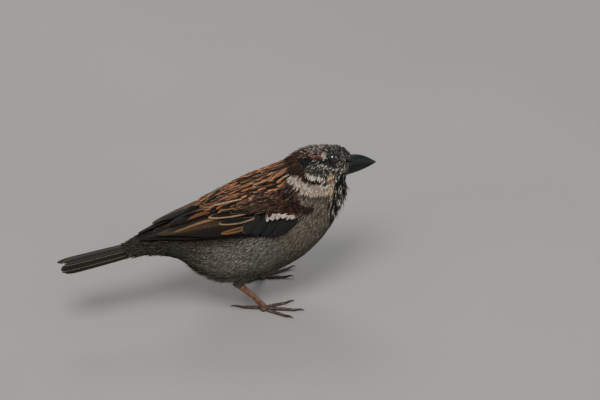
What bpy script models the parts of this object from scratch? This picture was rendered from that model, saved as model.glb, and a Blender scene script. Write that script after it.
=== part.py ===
"""A male house sparrow, life size, standing on flat ground with its wings folded.

+X points forwards along the bird, +Y to its left and +Z up.  The origin is on the
ground, under the middle of the box round the whole bird.  Every size below is in
millimetres, and to_mesh turns millimetres into metres.
"""

import math

import bmesh
import bpy
import numpy as np
from mathutils import Vector

MM = 0.001
GAP = 0.3  # clearance between neighbouring pieces

# The bird is drawn with its floor at FLOOR, then moved whole by SHIFT, which brings the floor
# to z = 0 and the middle of its length to x = 0.
FLOOR = -2.2
SHIFT = (-0.85, 0.0, -FLOOR)

# Each rung of the body's ladder joins a point of the upper outline to a point of the lower
# outline, both as (x, z), and gives the half width there and the share of the head's roll.
BODY_LADDER = (
    ((-42.0, 35.2), (-42.0, 31.8), 5.4, 0.0),  # root of the tail
    ((-35.0, 37.2), (-33.0, 31.2), 7.0, 0.0),  # end of the coverts
    ((-27.0, 40.2), (-20.5, 27.4), 10.2, 0.0),  # tail coverts
    ((-17.5, 44.8), (-9.4, 17.8), 14.4, 0.0),  # rump and vent
    ((-7.5, 49.0), (3.2, 11.8), 18.4, 0.0),  # lower back, over the legs
    ((3.0, 53.2), (19.6, 12.5), 20.0, 0.0),  # back and belly
    ((12.5, 57.2), (35.8, 18.0), 19.8, 0.0),  # shoulders and lower breast
    ((21.0, 60.4), (45.8, 24.8), 18.2, 0.0),  # mantle and breast
    ((28.0, 63.2), (51.8, 31.2), 15.8, 0.0),  # upper breast
    ((31.6, 65.1), (55.0, 37.0), 13.5, 0.15),  # nape and bib
    ((35.0, 67.1), (57.6, 42.4), 11.9, 0.35),  # collar
    ((39.2, 69.0), (59.2, 47.1), 11.0, 0.6),  # hind crown
    ((44.4, 70.2), (59.0, 50.0), 10.6, 0.85),  # ear coverts and throat
    ((50.0, 69.9), (58.4, 51.9), 10.1, 1.0),  # crown and cheek
    ((55.0, 69.1), (58.2, 53.0), 9.0, 1.0),  # over the eye
    ((58.8, 68.4), (58.6, 54.0), 7.7, 1.0),  # front of the eye
    ((61.2, 67.1), (59.2, 55.1), 6.1, 1.0),  # forehead and chin
    ((62.6, 64.4), (60.0, 56.5), 4.0, 1.0),  # root of the bill
)
BODY_RINGS, BODY_SPOKES = 38, 26
SECTION_POWER = 2.15  # a little squarer than an ellipse

# The head is cocked, right side up, about this line along X.
HEAD_ROLL = math.radians(-18)
HEAD_AXIS = (0.0, 60.0)  # y, z

# Cuts across the whole body, each through two (x, z) points of its side view.
HEAD_CUT = ((31.5, 66.0), (61.5, 51.0))
NECK_CUT = ((20.0, 63.0), (58.5, 32.0))
RUMP_CUT = ((-19.0, 50.0), (-16.0, 16.0))
TAIL_CUT = ((-38.0, 40.0), (-38.0, 20.0))

# Wing stations from the wrist to the tip: x, lower edge (y, z), upper edge (y, z),
# how far the arc between them bows out, and the thickness.
WING_STATIONS = (
    (36.6, (17.2, 44.4), (15.6, 50.0), 0.9, 1.6),
    (30.0, (19.4, 41.2), (14.8, 54.0), 1.7, 2.4),
    (20.0, (20.9, 40.0), (11.7, 56.4), 2.2, 2.8),
    (10.0, (20.6, 41.0), (8.0, 55.2), 1.9, 2.8),
    (0.0, (19.0, 42.2), (4.8, 52.8), 1.2, 2.6),
    (-10.0, (16.2, 42.6), (2.8, 49.4), 0.6, 2.4),
    (-20.0, (12.4, 42.0), (1.6, 46.0), 0.3, 2.0),
    (-29.0, (7.6, 41.2), (2.0, 43.0), 0.2, 1.7),
    (-38.0, (3.2, 40.0), (1.2, 40.6), 0.1, 1.3),
)
WING_RINGS, WING_POINTS = 20, 8
WING_EDGE_SHARE = 0.45  # thickness at the wing's edges, as a share of that in its middle
WING_CLEARANCE = 3.0  # nothing of the body stands this far outside the wing

TAIL_ROOT, TAIL_TIP = -38.3, -74.5
TAIL_ROOT_Z, TAIL_TIP_Z = 34.8, 30.8
TAIL_ROOT_HALF, TAIL_TIP_HALF = 5.8, 6.3
TAIL_THICK = 1.8
TAIL_NOTCH = 2.6
TAIL_CAMBER = 0.7
TAIL_THINNING, TAIL_EDGE_THINNING = 0.55, 0.45  # share of its thickness lost at tip and edges
TAIL_CORNER, TAIL_CORNER_START = 0.8, 0.8  # depth of the rounded corners and where they start
TAIL_TIP_POWER = 6  # how close to the tip its shape begins

BILL_TIP = (75.6, 58.6)
CULMEN_ROOT = (60.8, 63.6)
GAPE = (57.6, 60.1)
GONYS_ROOT = (57.6, 54.9)
BILL_HALF_WIDTH = 3.8
BILL_SEAT = 1.2  # depth of the hollow in the face behind the bill's root
BILL_SWELL = (1.35, 0.5)  # how far the culmen and the gonys bow out
BILL_REACH_POWER, BILL_TAPER_POWER, BILL_ROUNDING = 0.9, 0.74, 0.8
BILL_LEAST = 0.12  # half width and height left at the tip

EYE_RADIUS = 2.9
EYE_CENTRE = (52.6, 6.95, 65.1)  # the left eye, before the head is cocked
EYE_SEGMENTS, EYE_RINGS = 14, 10

# Heel and foot of each leg, and the bearing of its middle toe from +X.
HEEL_HEIGHT, FOOT_HEIGHT = 13.0, 1.5
LEGS = {
    "right": {"side": -1, "heel_x": 5.6, "foot": (17.6, -12.4), "bearing": -24.0},
    "left": {"side": 1, "heel_x": 12.6, "foot": (24.6, 14.2), "bearing": 12.0},
}
HEEL_HALF_SPREAD = 11.4
SHANK_RADII = (1.6, 1.28, 1.18, 1.35)  # heel, upper, lower, foot
SHANK_RINGS, SHANK_SIDES = 12, 10
SHANK_BOW = 0.5  # how far the middle of the shank bows up
SHANK_ROOM_BEHIND = 0.3  # length of the room behind the heel, in steps between rings
PAD_RADIUS, PAD_SIDES = 2.2, 16
PAD_LEVELS = ((0.0, 1.0), (0.9, 1.05), (1.6, 0.8), (2.0, 0.4))  # height, share of the radius
TOE_START = 3.0
TOE_RINGS, TOE_SIDES = 9, 8
TOE_TAPER = 0.22
TOE_KNUCKLES, KNUCKLE_SWELL = 3, 0.06
TOE_SINK, TOE_ARCH = 0.62, 0.25  # height of its middle line in radii, and how far it arches
# Toe: angle outwards from the middle toe, angle of its root, length, root radius.
TOES = {
    "inner": (-27.0, -42.0, 8.2, 0.82),
    "middle": (0.0, 0.0, 11.2, 0.88),
    "outer": (24.0, 38.0, 9.0, 0.82),
    "hind": (180.0, 180.0, 7.0, 0.92),
}
CLAW_LENGTHS = {"inner": 4.2, "middle": 4.3, "outer": 4.0, "hind": 5.8}
CLAW_RADIUS, CLAW_TAPER = 0.55, 0.8
CLAW_RINGS, CLAW_SIDES = 6, 6
CLAW_BEND = 1.25  # radians that the claw curves through
CLAW_HEIGHT, CLAW_RISE, CLAW_DROP = 0.62, 0.9, 0.98
THIGH_RADII = (1.6, 4.4, 5.0, 4.2, 3.0, 2.2)  # from inside the belly to the heel
THIGH_LENGTH = 13.0
THIGH_LEAN = (0.45, 0.06, 0.86)  # from the heel up: forwards, inwards, up
THIGH_RINGS, THIGH_SIDES = 9, 14


def through(points, at):
    """Smooth curve through evenly numbered points, read where at runs from 0 to 1."""
    points = np.asarray(points, float)
    last = len(points) - 1
    padded = np.vstack([2 * points[0] - points[1], points, 2 * points[-1] - points[-2]])
    place = np.clip(np.asarray(at, float), 0, 1) * last
    first = np.minimum(place.astype(int), last - 1)
    f = (place - first)[..., None]
    a, b, c, d = (padded[first + k] for k in range(4))
    return 0.5 * (
        2 * b + (c - a) * f + (2 * a - 5 * b + 4 * c - d) * f**2 + (3 * b - a - 3 * c + d) * f**3
    )


def rolled(points, share=1.0):
    """Turns points in millimetres about the head's long axis, by a share of its roll."""
    y0, z0 = HEAD_AXIS
    turn = HEAD_ROLL * np.asarray(share)
    y, z = points[..., 1] - y0, points[..., 2] - z0
    cos, sin = np.cos(turn), np.sin(turn)
    return np.stack([points[..., 0], y * cos - z * sin + y0, y * sin + z * cos + z0], axis=-1)


def body_rings():
    """Closed rings of points round the body, from the root of the tail to the bill."""
    table = [[*top, *bottom, half, roll] for top, bottom, half, roll in BODY_LADDER]
    rungs = through(table, np.linspace(0, 1, BODY_RINGS))
    angle = np.linspace(0, 2 * math.pi, BODY_SPOKES, endpoint=False)
    power = 2 / SECTION_POWER
    up = np.sign(np.cos(angle)) * np.abs(np.cos(angle)) ** power
    side = np.sign(np.sin(angle)) * np.abs(np.sin(angle)) ** power
    top_x, top_z, bottom_x, bottom_z, half, roll = (rungs[:, [k]] for k in range(6))
    x = (top_x + bottom_x) / 2 + (top_x - bottom_x) / 2 * up
    z = (top_z + bottom_z) / 2 + (top_z - bottom_z) / 2 * up
    return rolled(np.stack([x, half * side, z], axis=-1), roll)


def to_mesh(name, rings):
    """A closed mesh from rings of points in millimetres, each end closed by a fan."""
    count, around, _ = rings.shape
    points = np.vstack([rings.reshape(-1, 3), rings[0].mean(0), rings[-1].mean(0)])
    points = (points + SHIFT) * MM
    k = np.arange(around)
    after = (k + 1) % around
    faces = []
    for ring in range(count - 1):
        low, high = ring * around, (ring + 1) * around
        faces += np.stack([low + k, low + after, high + after, high + k], 1).tolist()
    start, end = count * around, count * around + 1
    faces += np.stack([np.full(around, start), after, k], 1).tolist()
    last = (count - 1) * around
    faces += np.stack([np.full(around, end), last + k, last + after], 1).tolist()
    mesh = bpy.data.meshes.new(name)
    mesh.from_pydata(points.tolist(), [], faces)
    return faced_outwards(mesh)


def faced_outwards(mesh):
    build = bmesh.new()
    build.from_mesh(mesh)
    bmesh.ops.recalc_face_normals(build, faces=build.faces)
    if build.calc_volume(signed=True) < 0:
        bmesh.ops.reverse_faces(build, faces=build.faces)
    build.to_mesh(mesh)
    build.free()
    return mesh


def material(name, colour, roughness):
    made = bpy.data.materials.new(name)
    made.use_nodes = True
    shader = made.node_tree.nodes["Principled BSDF"]
    shader.inputs["Base Color"].default_value = (*colour, 1)
    shader.inputs["Roughness"].default_value = roughness
    return made


def place(name, mesh, finish=None, cutter=False):
    made = bpy.data.objects.new(name, mesh)
    bpy.context.scene.collection.objects.link(made)
    if finish:
        mesh.materials.append(finish)
    mesh.shade_smooth()
    if cutter:
        made.hide_render = True
        made.display_type = "WIRE"
    return made


def boolean(piece, other, operation="DIFFERENCE"):
    step = piece.modifiers.new(operation.title() + " " + other.name, "BOOLEAN")
    step.operation = operation
    step.solver = "EXACT"
    step.object = other


def sliced(mesh, name, cuts):
    """A copy of mesh kept on one side of each cut: 1 keeps what lies towards the head."""
    build = bmesh.new()
    build.from_mesh(mesh)
    for (upper, lower), keep in cuts:
        along = Vector((upper[0] - lower[0], 0, upper[1] - lower[1])).normalized()
        forward = Vector((along.z, 0, -along.x)) * keep
        middle = Vector((upper[0] + lower[0], 0, upper[1] + lower[1])) / 2
        where = (middle + forward * GAP / 2 + Vector(SHIFT)) * MM
        whole = [*build.verts, *build.edges, *build.faces]
        bmesh.ops.bisect_plane(
            build, geom=whole, dist=1e-7, plane_co=where, plane_no=forward, clear_inner=True
        )
        rim = [edge for edge in build.edges if edge.is_boundary]
        bmesh.ops.holes_fill(build, edges=rim, sides=0)
    bmesh.ops.triangulate(build, faces=[f for f in build.faces if len(f.verts) > 4])
    made = bpy.data.meshes.new(name)
    build.to_mesh(made)
    build.free()
    return faced_outwards(made)


def wing_rings(side, grow=0.0, clear=0.0):
    """Rings round a folded wing, from wrist to tip: out along its skin and back inside."""
    table = [[x, *low, *up, bow, thick] for x, low, up, bow, thick in WING_STATIONS]
    x, low_y, low_z, up_y, up_z, bow, thick = through(table, np.linspace(0, 1, WING_RINGS)).T
    share = np.linspace(0, 1, WING_POINTS)
    chord_y, chord_z = up_y - low_y, up_z - low_z
    length = np.hypot(chord_y, chord_z)
    out_y, out_z = chord_z / length, -chord_y / length
    share_grown = -grow / length[:, None] + share * (1 + 2 * grow / length[:, None])
    rise = bow[:, None] * 4 * share * (1 - share)
    swell = WING_EDGE_SHARE + (1 - WING_EDGE_SHARE) * np.sin(math.pi * share)
    depth = thick[:, None] * swell

    def sheet(offset):
        y = low_y[:, None] + chord_y[:, None] * share_grown + out_y[:, None] * offset
        z = low_z[:, None] + chord_z[:, None] * share_grown + out_z[:, None] * offset
        return np.stack([np.broadcast_to(x[:, None], y.shape), side * y, z], axis=-1)

    outer, inner = sheet(rise + clear), sheet(rise - depth - grow)
    rings = np.concatenate([outer, inner[:, ::-1]], axis=1)
    rings[0, :, 0] += grow
    rings[-1, :, 0] -= grow
    return rings


def tail_rings(along=10, across=9):
    """Rings across the closed tail, which is shallowly arched and notched at its tip."""
    share = np.linspace(0, 1, along)[:, None]
    across_at = np.linspace(-1, 1, across)
    half = TAIL_ROOT_HALF + (TAIL_TIP_HALF - TAIL_ROOT_HALF) * share
    near_tip = share**TAIL_TIP_POWER
    notch = TAIL_NOTCH * (1 - np.abs(across_at)) * near_tip
    rounding = np.clip(np.abs(across_at) - TAIL_CORNER_START, 0, 1) / (1 - TAIL_CORNER_START)
    corner = TAIL_NOTCH * TAIL_CORNER * rounding * near_tip
    x = TAIL_ROOT + (TAIL_TIP - TAIL_ROOT) * share + notch + corner
    y = half * across_at
    middle = TAIL_ROOT_Z + (TAIL_TIP_Z - TAIL_ROOT_Z) * share - TAIL_CAMBER * across_at**2
    thinning = (1 - TAIL_THINNING * share) * (1 - TAIL_EDGE_THINNING * across_at**4)
    thick = TAIL_THICK * thinning / 2
    upper = np.stack([x, y, middle + thick], axis=-1)
    lower = np.stack([x, y, middle - thick], axis=-1)
    return np.concatenate([upper, lower[:, ::-1]], axis=1)


def bill_rings(bend, grow=0.0, along=12, around=9):
    """Rings of half a bill from root to tip, flat where the halves meet: bend 1 is upper."""
    share = np.linspace(0, 1, along)[:, None]
    root = np.array(CULMEN_ROOT if bend > 0 else GONYS_ROOT)
    tip = np.array(BILL_TIP)
    gape = np.array(GAPE)
    swell = BILL_SWELL[0 if bend > 0 else 1] * np.sin(math.pi * share)
    reach = share**BILL_REACH_POWER
    ridge_x = root[0] + (tip[0] - root[0]) * reach
    ridge_z = root[1] + (tip[1] - root[1]) * share + bend * swell
    edge_x = gape[0] + (tip[0] - gape[0]) * reach
    edge_z = gape[1] + (tip[1] - gape[1]) * share
    half = BILL_HALF_WIDTH * (1 - share) ** BILL_TAPER_POWER + BILL_LEAST + grow
    angle = np.linspace(0, math.pi, around)
    lift = np.sin(angle) ** BILL_ROUNDING
    rise = np.maximum(bend * (ridge_z - edge_z), BILL_LEAST) + grow
    x = edge_x + (ridge_x - edge_x) * lift
    y = half * np.cos(angle)
    z = edge_z + bend * (GAP / 2 + rise * lift)
    return np.stack([x, y, z], axis=-1)


def tube_rings(path, radii, around, floor=None):
    """Rings of given radii along a path; floor flattens what would sink below it."""
    path = np.asarray(path, float)
    run = np.gradient(path, axis=0)
    run /= np.linalg.norm(run, axis=1)[:, None]
    level = np.cross(run, (0, 0, 1.0))
    level /= np.linalg.norm(level, axis=1)[:, None]
    over = np.cross(level, run)
    angle = np.linspace(0, 2 * math.pi, around, endpoint=False) + math.pi / around
    radii = np.asarray(radii, float)[:, None, None]
    across = np.cos(angle)[None, :, None] * level[:, None]
    upward = np.sin(angle)[None, :, None] * over[:, None]
    rings = path[:, None] + radii * (across + upward)
    if floor is not None:
        rings[..., 2] = np.maximum(rings[..., 2], floor)
    return rings


def heading(degrees):
    return np.array([math.cos(math.radians(degrees)), math.sin(math.radians(degrees)), 0.0])


def make_body(plumage):
    """Head, neck, trunk and rump: one body, cut across."""
    whole = to_mesh("whole_body", body_rings())
    pieces = {
        "head": [(HEAD_CUT, 1)],
        "neck": [(HEAD_CUT, -1), (NECK_CUT, 1)],
        "trunk": [(NECK_CUT, -1), (RUMP_CUT, 1)],
        "rump": [(RUMP_CUT, -1), (TAIL_CUT, 1)],
    }
    return {name: place(name, sliced(whole, name, cuts), plumage[name]) for name, cuts in pieces.items()}


def make_wings(body, finish):
    for side, sign in (("right", -1), ("left", 1)):
        place(f"wing_{side}", to_mesh(f"wing_{side}", wing_rings(sign)), finish)
        room = to_mesh(f"wing_room_{side}", wing_rings(sign, GAP, WING_CLEARANCE))
        cutter = place(f"wing_room_{side}", room, cutter=True)
        for name in ("neck", "trunk", "rump"):
            boolean(body[name], cutter)


def make_bill(body, finish):
    upper, lower = bill_rings(1, GAP), bill_rings(-1, GAP)
    room = np.concatenate([upper, lower[:, ::-1]], axis=1)
    room = np.concatenate([room[:1] - (BILL_SEAT, 0, 0), room])
    boolean(body["head"], place("bill_room", to_mesh("bill_room", rolled(room)), cutter=True))
    for name, bend in (("bill_upper", 1), ("bill_lower", -1)):
        place(name, to_mesh(name, rolled(bill_rings(bend))), finish)


def sphere_mesh(name, radius):
    build = bmesh.new()
    bmesh.ops.create_uvsphere(
        build, u_segments=EYE_SEGMENTS, v_segments=EYE_RINGS, radius=radius * MM
    )
    made = bpy.data.meshes.new(name)
    build.to_mesh(made)
    build.free()
    return made


def make_eyes(body, finish):
    for side, sign in (("right", -1), ("left", 1)):
        x, y, z = EYE_CENTRE
        centre = (rolled(np.array([[x, sign * y, z]]))[0] + SHIFT) * MM
        eye = place(f"eye_{side}", sphere_mesh(f"eye_{side}", EYE_RADIUS), finish)
        eye.location = centre
        socket = place(f"socket_{side}", sphere_mesh(f"socket_{side}", EYE_RADIUS + GAP), cutter=True)
        socket.location = centre
        boolean(body["head"], socket)


def make_tail(finish):
    place("tail", to_mesh("tail", tail_rings()), finish)


def thigh_rings(heel, side, grow=0.0):
    """The feathered thigh, which narrows from inside the belly to the heel."""
    share = np.linspace(0, 1, THIGH_RINGS)
    lean = np.array(THIGH_LEAN) * (1, -side, 1)
    lean /= np.linalg.norm(lean)
    path = heel + lean * (THIGH_LENGTH * (1 - share[:, None]) + grow * (1 - 2 * share[:, None]))
    radii = through([[r] for r in THIGH_RADII], share)[:, 0]
    return tube_rings(path, radii + grow, THIGH_SIDES)


def make_leg(side, leg, body, plumage, scales):
    """Thigh, shank and its pad, up to the roots of the toes."""
    sign, (foot_x, foot_y) = leg["side"], leg["foot"]
    heel = np.array([leg["heel_x"], sign * HEEL_HALF_SPREAD, HEEL_HEIGHT])
    foot = np.array([foot_x, foot_y, FLOOR + FOOT_HEIGHT])
    thigh = place(f"thigh_{side}", to_mesh(f"thigh_{side}", thigh_rings(heel, sign)), plumage)
    room = to_mesh(f"thigh_room_{side}", thigh_rings(heel, sign, GAP))
    boolean(body["trunk"], place(f"thigh_room_{side}", room, cutter=True))

    share = np.linspace(0, 1, SHANK_RINGS)
    path = heel + (foot - heel) * share[:, None]
    path[:, 2] += SHANK_BOW * np.sin(math.pi * share)
    radii = through([[r] for r in SHANK_RADII], share)[:, 0]
    rings = tube_rings(path, radii, SHANK_SIDES)
    shank = place(f"shank_{side}", to_mesh(f"shank_{side}", rings), scales)
    behind = path[:1] - (path[1] - path[0]) * SHANK_ROOM_BEHIND
    room = tube_rings(np.vstack([behind, path[1:]]), radii + GAP, SHANK_SIDES)
    cutter = place(f"shank_room_{side}", to_mesh(f"shank_room_{side}", room), cutter=True)
    boolean(thigh, cutter)
    boolean(body["trunk"], cutter)
    heights, spread = np.array(PAD_LEVELS).T
    spread = spread * PAD_RADIUS
    angle = np.linspace(0, 2 * math.pi, PAD_SIDES, endpoint=False)
    x = foot_x + spread[:, None] * np.cos(angle)
    y = foot_y + spread[:, None] * np.sin(angle)
    z = np.broadcast_to(FLOOR + heights[:, None], x.shape)
    pad = place(f"pad_{side}", to_mesh(f"pad_{side}", np.stack([x, y, z], -1)), cutter=True)
    boolean(shank, pad, "UNION")


def make_toes(side, leg, scales, horn):
    """Four toes, each with its claw, lying flat on the ground."""
    outwards = leg["side"]
    for toe, (turn, root_turn, length, radius) in TOES.items():
        aim = heading(leg["bearing"] + outwards * turn)
        start = heading(leg["bearing"] + outwards * root_turn) * TOE_START
        root = np.array([*leg["foot"], 0.0]) + start
        share = np.linspace(0, 1, TOE_RINGS)
        knuckles = KNUCKLE_SWELL * np.cos(share * TOE_KNUCKLES * 2 * math.pi)
        radii = radius * (1 - TOE_TAPER * share) + knuckles
        path = root + aim * length * share[:, None]
        path[:, 2] = FLOOR + TOE_SINK * radii + TOE_ARCH * np.sin(math.pi * share)
        name = f"toe_{toe}_{side}"
        place(name, to_mesh(name, tube_rings(path, radii, TOE_SIDES, floor=FLOOR)), scales)

        bend = np.linspace(0, 1, CLAW_RINGS)
        reach = CLAW_LENGTHS[toe] * np.sin(bend * CLAW_BEND) / math.sin(CLAW_BEND)
        claw = path[-1] + aim * (GAP + reach[:, None])
        rise = np.sin(bend * math.pi * CLAW_HEIGHT)
        claw[:, 2] = FLOOR + CLAW_HEIGHT + CLAW_RISE * rise - CLAW_DROP * bend**2
        taper = CLAW_RADIUS * (1 - CLAW_TAPER * bend)
        name = f"claw_{toe}_{side}"
        place(name, to_mesh(name, tube_rings(claw, taper, CLAW_SIDES, floor=FLOOR)), horn)


def main():
    for item in list(bpy.data.objects):
        bpy.data.objects.remove(item)
    plumage = {
        "head": material("head_plumage", (0.10, 0.075, 0.06), 0.85),
        "neck": material("neck_plumage", (0.30, 0.27, 0.24), 0.85),
        "trunk": material("trunk_plumage", (0.20, 0.18, 0.16), 0.85),
        "rump": material("rump_plumage", (0.16, 0.14, 0.12), 0.85),
    }
    quills = material("flight_feathers", (0.12, 0.07, 0.04), 0.7)
    scales = material("leg_scales", (0.30, 0.16, 0.10), 0.55)
    horn = material("horn", (0.04, 0.04, 0.045), 0.35)
    gloss = material("eye", (0.02, 0.012, 0.01), 0.08)
    body = make_body(plumage)
    make_wings(body, quills)
    make_tail(quills)
    make_bill(body, horn)
    make_eyes(body, gloss)
    for side, leg in LEGS.items():
        make_leg(side, leg, body, plumage["trunk"], scales)
        make_toes(side, leg, scales, horn)


main()
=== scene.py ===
"""A male house sparrow at life size, standing with its wings folded.

Every shape is worked out in millimetres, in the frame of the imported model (+X forwards, +Y to
the bird's left, +Z up), and becomes metres when it is put into a mesh.
"""

import math

import bpy
import numpy as np
from bpy.props import FloatProperty, FloatVectorProperty, IntProperty, PointerProperty
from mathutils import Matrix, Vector


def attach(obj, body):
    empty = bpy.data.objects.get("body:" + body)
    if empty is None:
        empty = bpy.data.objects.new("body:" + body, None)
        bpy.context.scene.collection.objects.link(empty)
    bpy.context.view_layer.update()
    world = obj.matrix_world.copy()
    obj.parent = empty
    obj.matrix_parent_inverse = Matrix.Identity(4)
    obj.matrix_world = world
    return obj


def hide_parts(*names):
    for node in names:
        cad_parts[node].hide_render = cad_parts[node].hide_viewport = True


bl_info = {
    "name": "House sparrow",
    "version": (1, 0, 0),
    "blender": (4, 5, 0),
    "location": "3D View > Sidebar > Sparrow",
    "description": "Builds a life-size male house sparrow over its solid model",
    "category": "Add Mesh",
}

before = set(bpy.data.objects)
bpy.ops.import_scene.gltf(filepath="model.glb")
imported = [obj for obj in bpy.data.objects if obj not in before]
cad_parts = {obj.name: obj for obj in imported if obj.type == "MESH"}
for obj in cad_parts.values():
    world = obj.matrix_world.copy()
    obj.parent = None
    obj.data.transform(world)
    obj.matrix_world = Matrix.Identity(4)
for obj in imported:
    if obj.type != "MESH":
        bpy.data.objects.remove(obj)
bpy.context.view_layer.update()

MM = 0.001
# The bird is drawn with its floor at z = FLOOR.  SHIFT then moves it whole, so that the floor
# comes to z = 0 and the middle of its length to x = 0.
FLOOR = -2.2
SHIFT = (-0.85, 0.0, -FLOOR)
TURN = 2 * math.pi
GOLDEN_TURN = 2.399963
BAKE_MAP, VANE_MAP = "OFBake", "Vane"
SIDES = {"right": -1, "left": 1}
END_REACH = 0.25

# Each rung of the body's ladder: top (x, z), bottom (x, z), half width, share of the head's roll.
BODY_LADDER = np.array(
    (
        (-42.0, 35.2, -42.0, 31.8, 5.4, 0.0),  # root of the tail
        (-35.0, 38.3, -33.0, 31.2, 7.0, 0.0),
        (-27.0, 41.4, -20.5, 27.4, 10.2, 0.0),  # tail coverts
        (-17.5, 44.8, -9.4, 17.8, 14.4, 0.0),  # rump and vent
        (-7.5, 49.0, 3.2, 11.8, 18.4, 0.0),
        (3.0, 53.2, 19.6, 12.5, 20.0, 0.0),  # back and belly
        (12.5, 57.2, 35.8, 18.0, 19.8, 0.0),
        (21.0, 60.4, 45.8, 24.8, 18.2, 0.0),  # mantle and breast
        (28.0, 63.2, 51.8, 31.2, 15.8, 0.0),
        (31.6, 65.1, 55.0, 37.0, 13.5, 0.15),  # nape and bib
        (35.0, 67.1, 57.6, 42.4, 11.9, 0.35),
        (39.2, 69.0, 59.2, 47.1, 11.0, 0.6),
        (44.4, 70.2, 59.0, 50.0, 10.6, 0.85),  # hind crown and throat
        (50.0, 69.9, 58.4, 51.9, 10.1, 1.0),
        (55.0, 69.1, 58.2, 53.0, 9.0, 1.0),  # crown, over the eye
        (58.8, 68.4, 58.6, 54.0, 7.7, 1.0),
        (61.2, 67.1, 59.2, 55.1, 6.1, 1.0),  # forehead and chin
        (62.6, 64.4, 60.0, 56.5, 4.0, 1.0),  # root of the bill
    )
)
SECTION_POWER = 2.15
HEAD_ROLL = math.radians(-18)
HEAD_AXIS = (0.0, 60.0)  # y, z of the line that the head is rolled about


def through(points, at):
    """Catmull-Rom curve through evenly numbered points, read where at runs from 0 to 1."""
    last = len(points) - 1
    padded = np.vstack([2 * points[0] - points[1], points, 2 * points[-1] - points[-2]])
    place = np.clip(np.asarray(at, float), 0, 1) * last
    first = np.minimum(place.astype(int), last - 1)
    f = (place - first)[..., None]
    a, b, c, d = (padded[first + k] for k in range(4))
    return 0.5 * (
        2 * b + (c - a) * f + (2 * a - 5 * b + 4 * c - d) * f**2 + (3 * b - a - 3 * c + d) * f**3
    )


def smooth(low, high, value):
    """0 below low, 1 above high, and a smooth cubic step between."""
    t = np.clip((value - low) / (high - low), 0, 1)
    return t * t * (3 - 2 * t)


def unit(vectors):
    """Vectors over their own length."""
    return vectors / np.maximum(np.linalg.norm(vectors, axis=-1, keepdims=True), 1e-12)


def turns(count):
    """Angles of points spread evenly round a circle."""
    return np.linspace(0, TURN, count, endpoint=False)


def swung(first, second, angle):
    """First times the cosine of the angle plus second times its sine."""
    return first * np.cos(angle)[..., None] + second * np.sin(angle)[..., None]


def rolled(points, share=1.0):
    """Points turned with the head about its long axis, by a share of the whole roll."""
    y0, z0 = HEAD_AXIS
    turn = HEAD_ROLL * np.asarray(share)
    y, z = points[..., 1] - y0, points[..., 2] - z0
    cos, sin = np.cos(turn), np.sin(turn)
    return np.stack([points[..., 0], y * cos - z * sin + y0, y * sin + z * cos + z0], axis=-1)


# Swellings of the body's surface: centre (x, |y|, z) before the head's roll, reach, height.
SWELLINGS = (
    ((46.0, 9.5, 60.5), 6.5, 0.7),  # ear coverts
    ((52.6, 7.8, 68.6), 3.0, 0.4),  # brow
    ((58.5, 6.2, 63.8), 3.2, -0.6),  # lores, before the eye
    ((52.6, 8.8, 65.2), 2.6, -0.6),  # hollow of the eye
    ((56.2, 6.0, 55.5), 3.4, 0.4),  # jaw
)


def plain_body(u, a):
    """Body surface before the head's roll: superellipse rings strung between the ladder's rungs."""
    rung = through(BODY_LADDER, u)
    power = 2 / SECTION_POWER
    up = np.sign(np.cos(a)) * np.abs(np.cos(a)) ** power
    side = np.sign(np.sin(a)) * np.abs(np.sin(a)) ** power
    middle = np.stack([rung[..., 0] + rung[..., 2], 0 * up, rung[..., 1] + rung[..., 3]], -1) / 2
    half = np.stack([rung[..., 0] - rung[..., 2], 0 * up, rung[..., 1] - rung[..., 3]], -1) / 2
    spoke = half * up[..., None]
    spoke[..., 1] = -rung[..., 4] * side
    point = middle + spoke
    swell = 0.0
    for (cx, cy, cz), reach, height in SWELLINGS:
        gap = (point[..., 0] - cx) ** 2 + (np.abs(point[..., 1]) - cy) ** 2 + (point[..., 2] - cz) ** 2
        swell = swell + height * np.exp(-gap / reach**2)
    return point + unit(spoke) * swell[..., None], rung[..., 5]


def body(u, a):
    """Point of the body's outer surface at u from the tail (0) to the bill (1), a round from the top."""
    point, roll = plain_body(u, a)
    return rolled(point, roll)


def body_frame(u, a):
    """Point, slopes along u and a, and outward normal of the body's surface."""
    step = 1e-3
    point = body(u, a)
    low, high = np.clip(u - step, 0, 1), np.clip(u + step, 0, 1)
    along = (body(high, a) - body(low, a)) / (high - low)[..., None]
    around = (body(u, a + step) - body(u, a - step)) / (2 * step)
    return point, along, around, unit(np.cross(around, along))


# ---- meshes


def smooth_mesh(name, points, quads, triangles, uvs, attributes):
    """Mesh from arrays: points in millimetres, faces, UV maps per point and attributes per point."""
    mesh = bpy.data.meshes.new(name)
    flat = lambda values: values.astype(np.float32).ravel()
    corners = np.concatenate([quads.ravel(), triangles.ravel()]).astype(np.int32)
    starts = np.concatenate(
        [np.arange(len(quads)) * 4, len(quads) * 4 + np.arange(len(triangles)) * 3]
    ).astype(np.int32)
    mesh.vertices.add(len(points))
    mesh.vertices.foreach_set("co", flat((points + SHIFT) * MM))
    mesh.loops.add(len(corners))
    mesh.loops.foreach_set("vertex_index", corners)
    mesh.polygons.add(len(starts))
    mesh.polygons.foreach_set("loop_start", starts)
    mesh.update(calc_edges=True)
    for title, values in uvs.items():
        layer = mesh.uv_layers.new(name=title)
        layer.uv.foreach_set("vector", flat(values[corners]))
    for title, values in attributes.items():
        if values.ndim == 2:
            full = np.concatenate([values, np.ones((len(values), 1))], axis=1)
            layer = mesh.attributes.new(title, "FLOAT_COLOR", "POINT")
            layer.data.foreach_set("color", flat(full))
        else:
            layer = mesh.attributes.new(title, "FLOAT", "POINT")
            layer.data.foreach_set("value", flat(values))
    mesh.shade_smooth()
    return mesh


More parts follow.
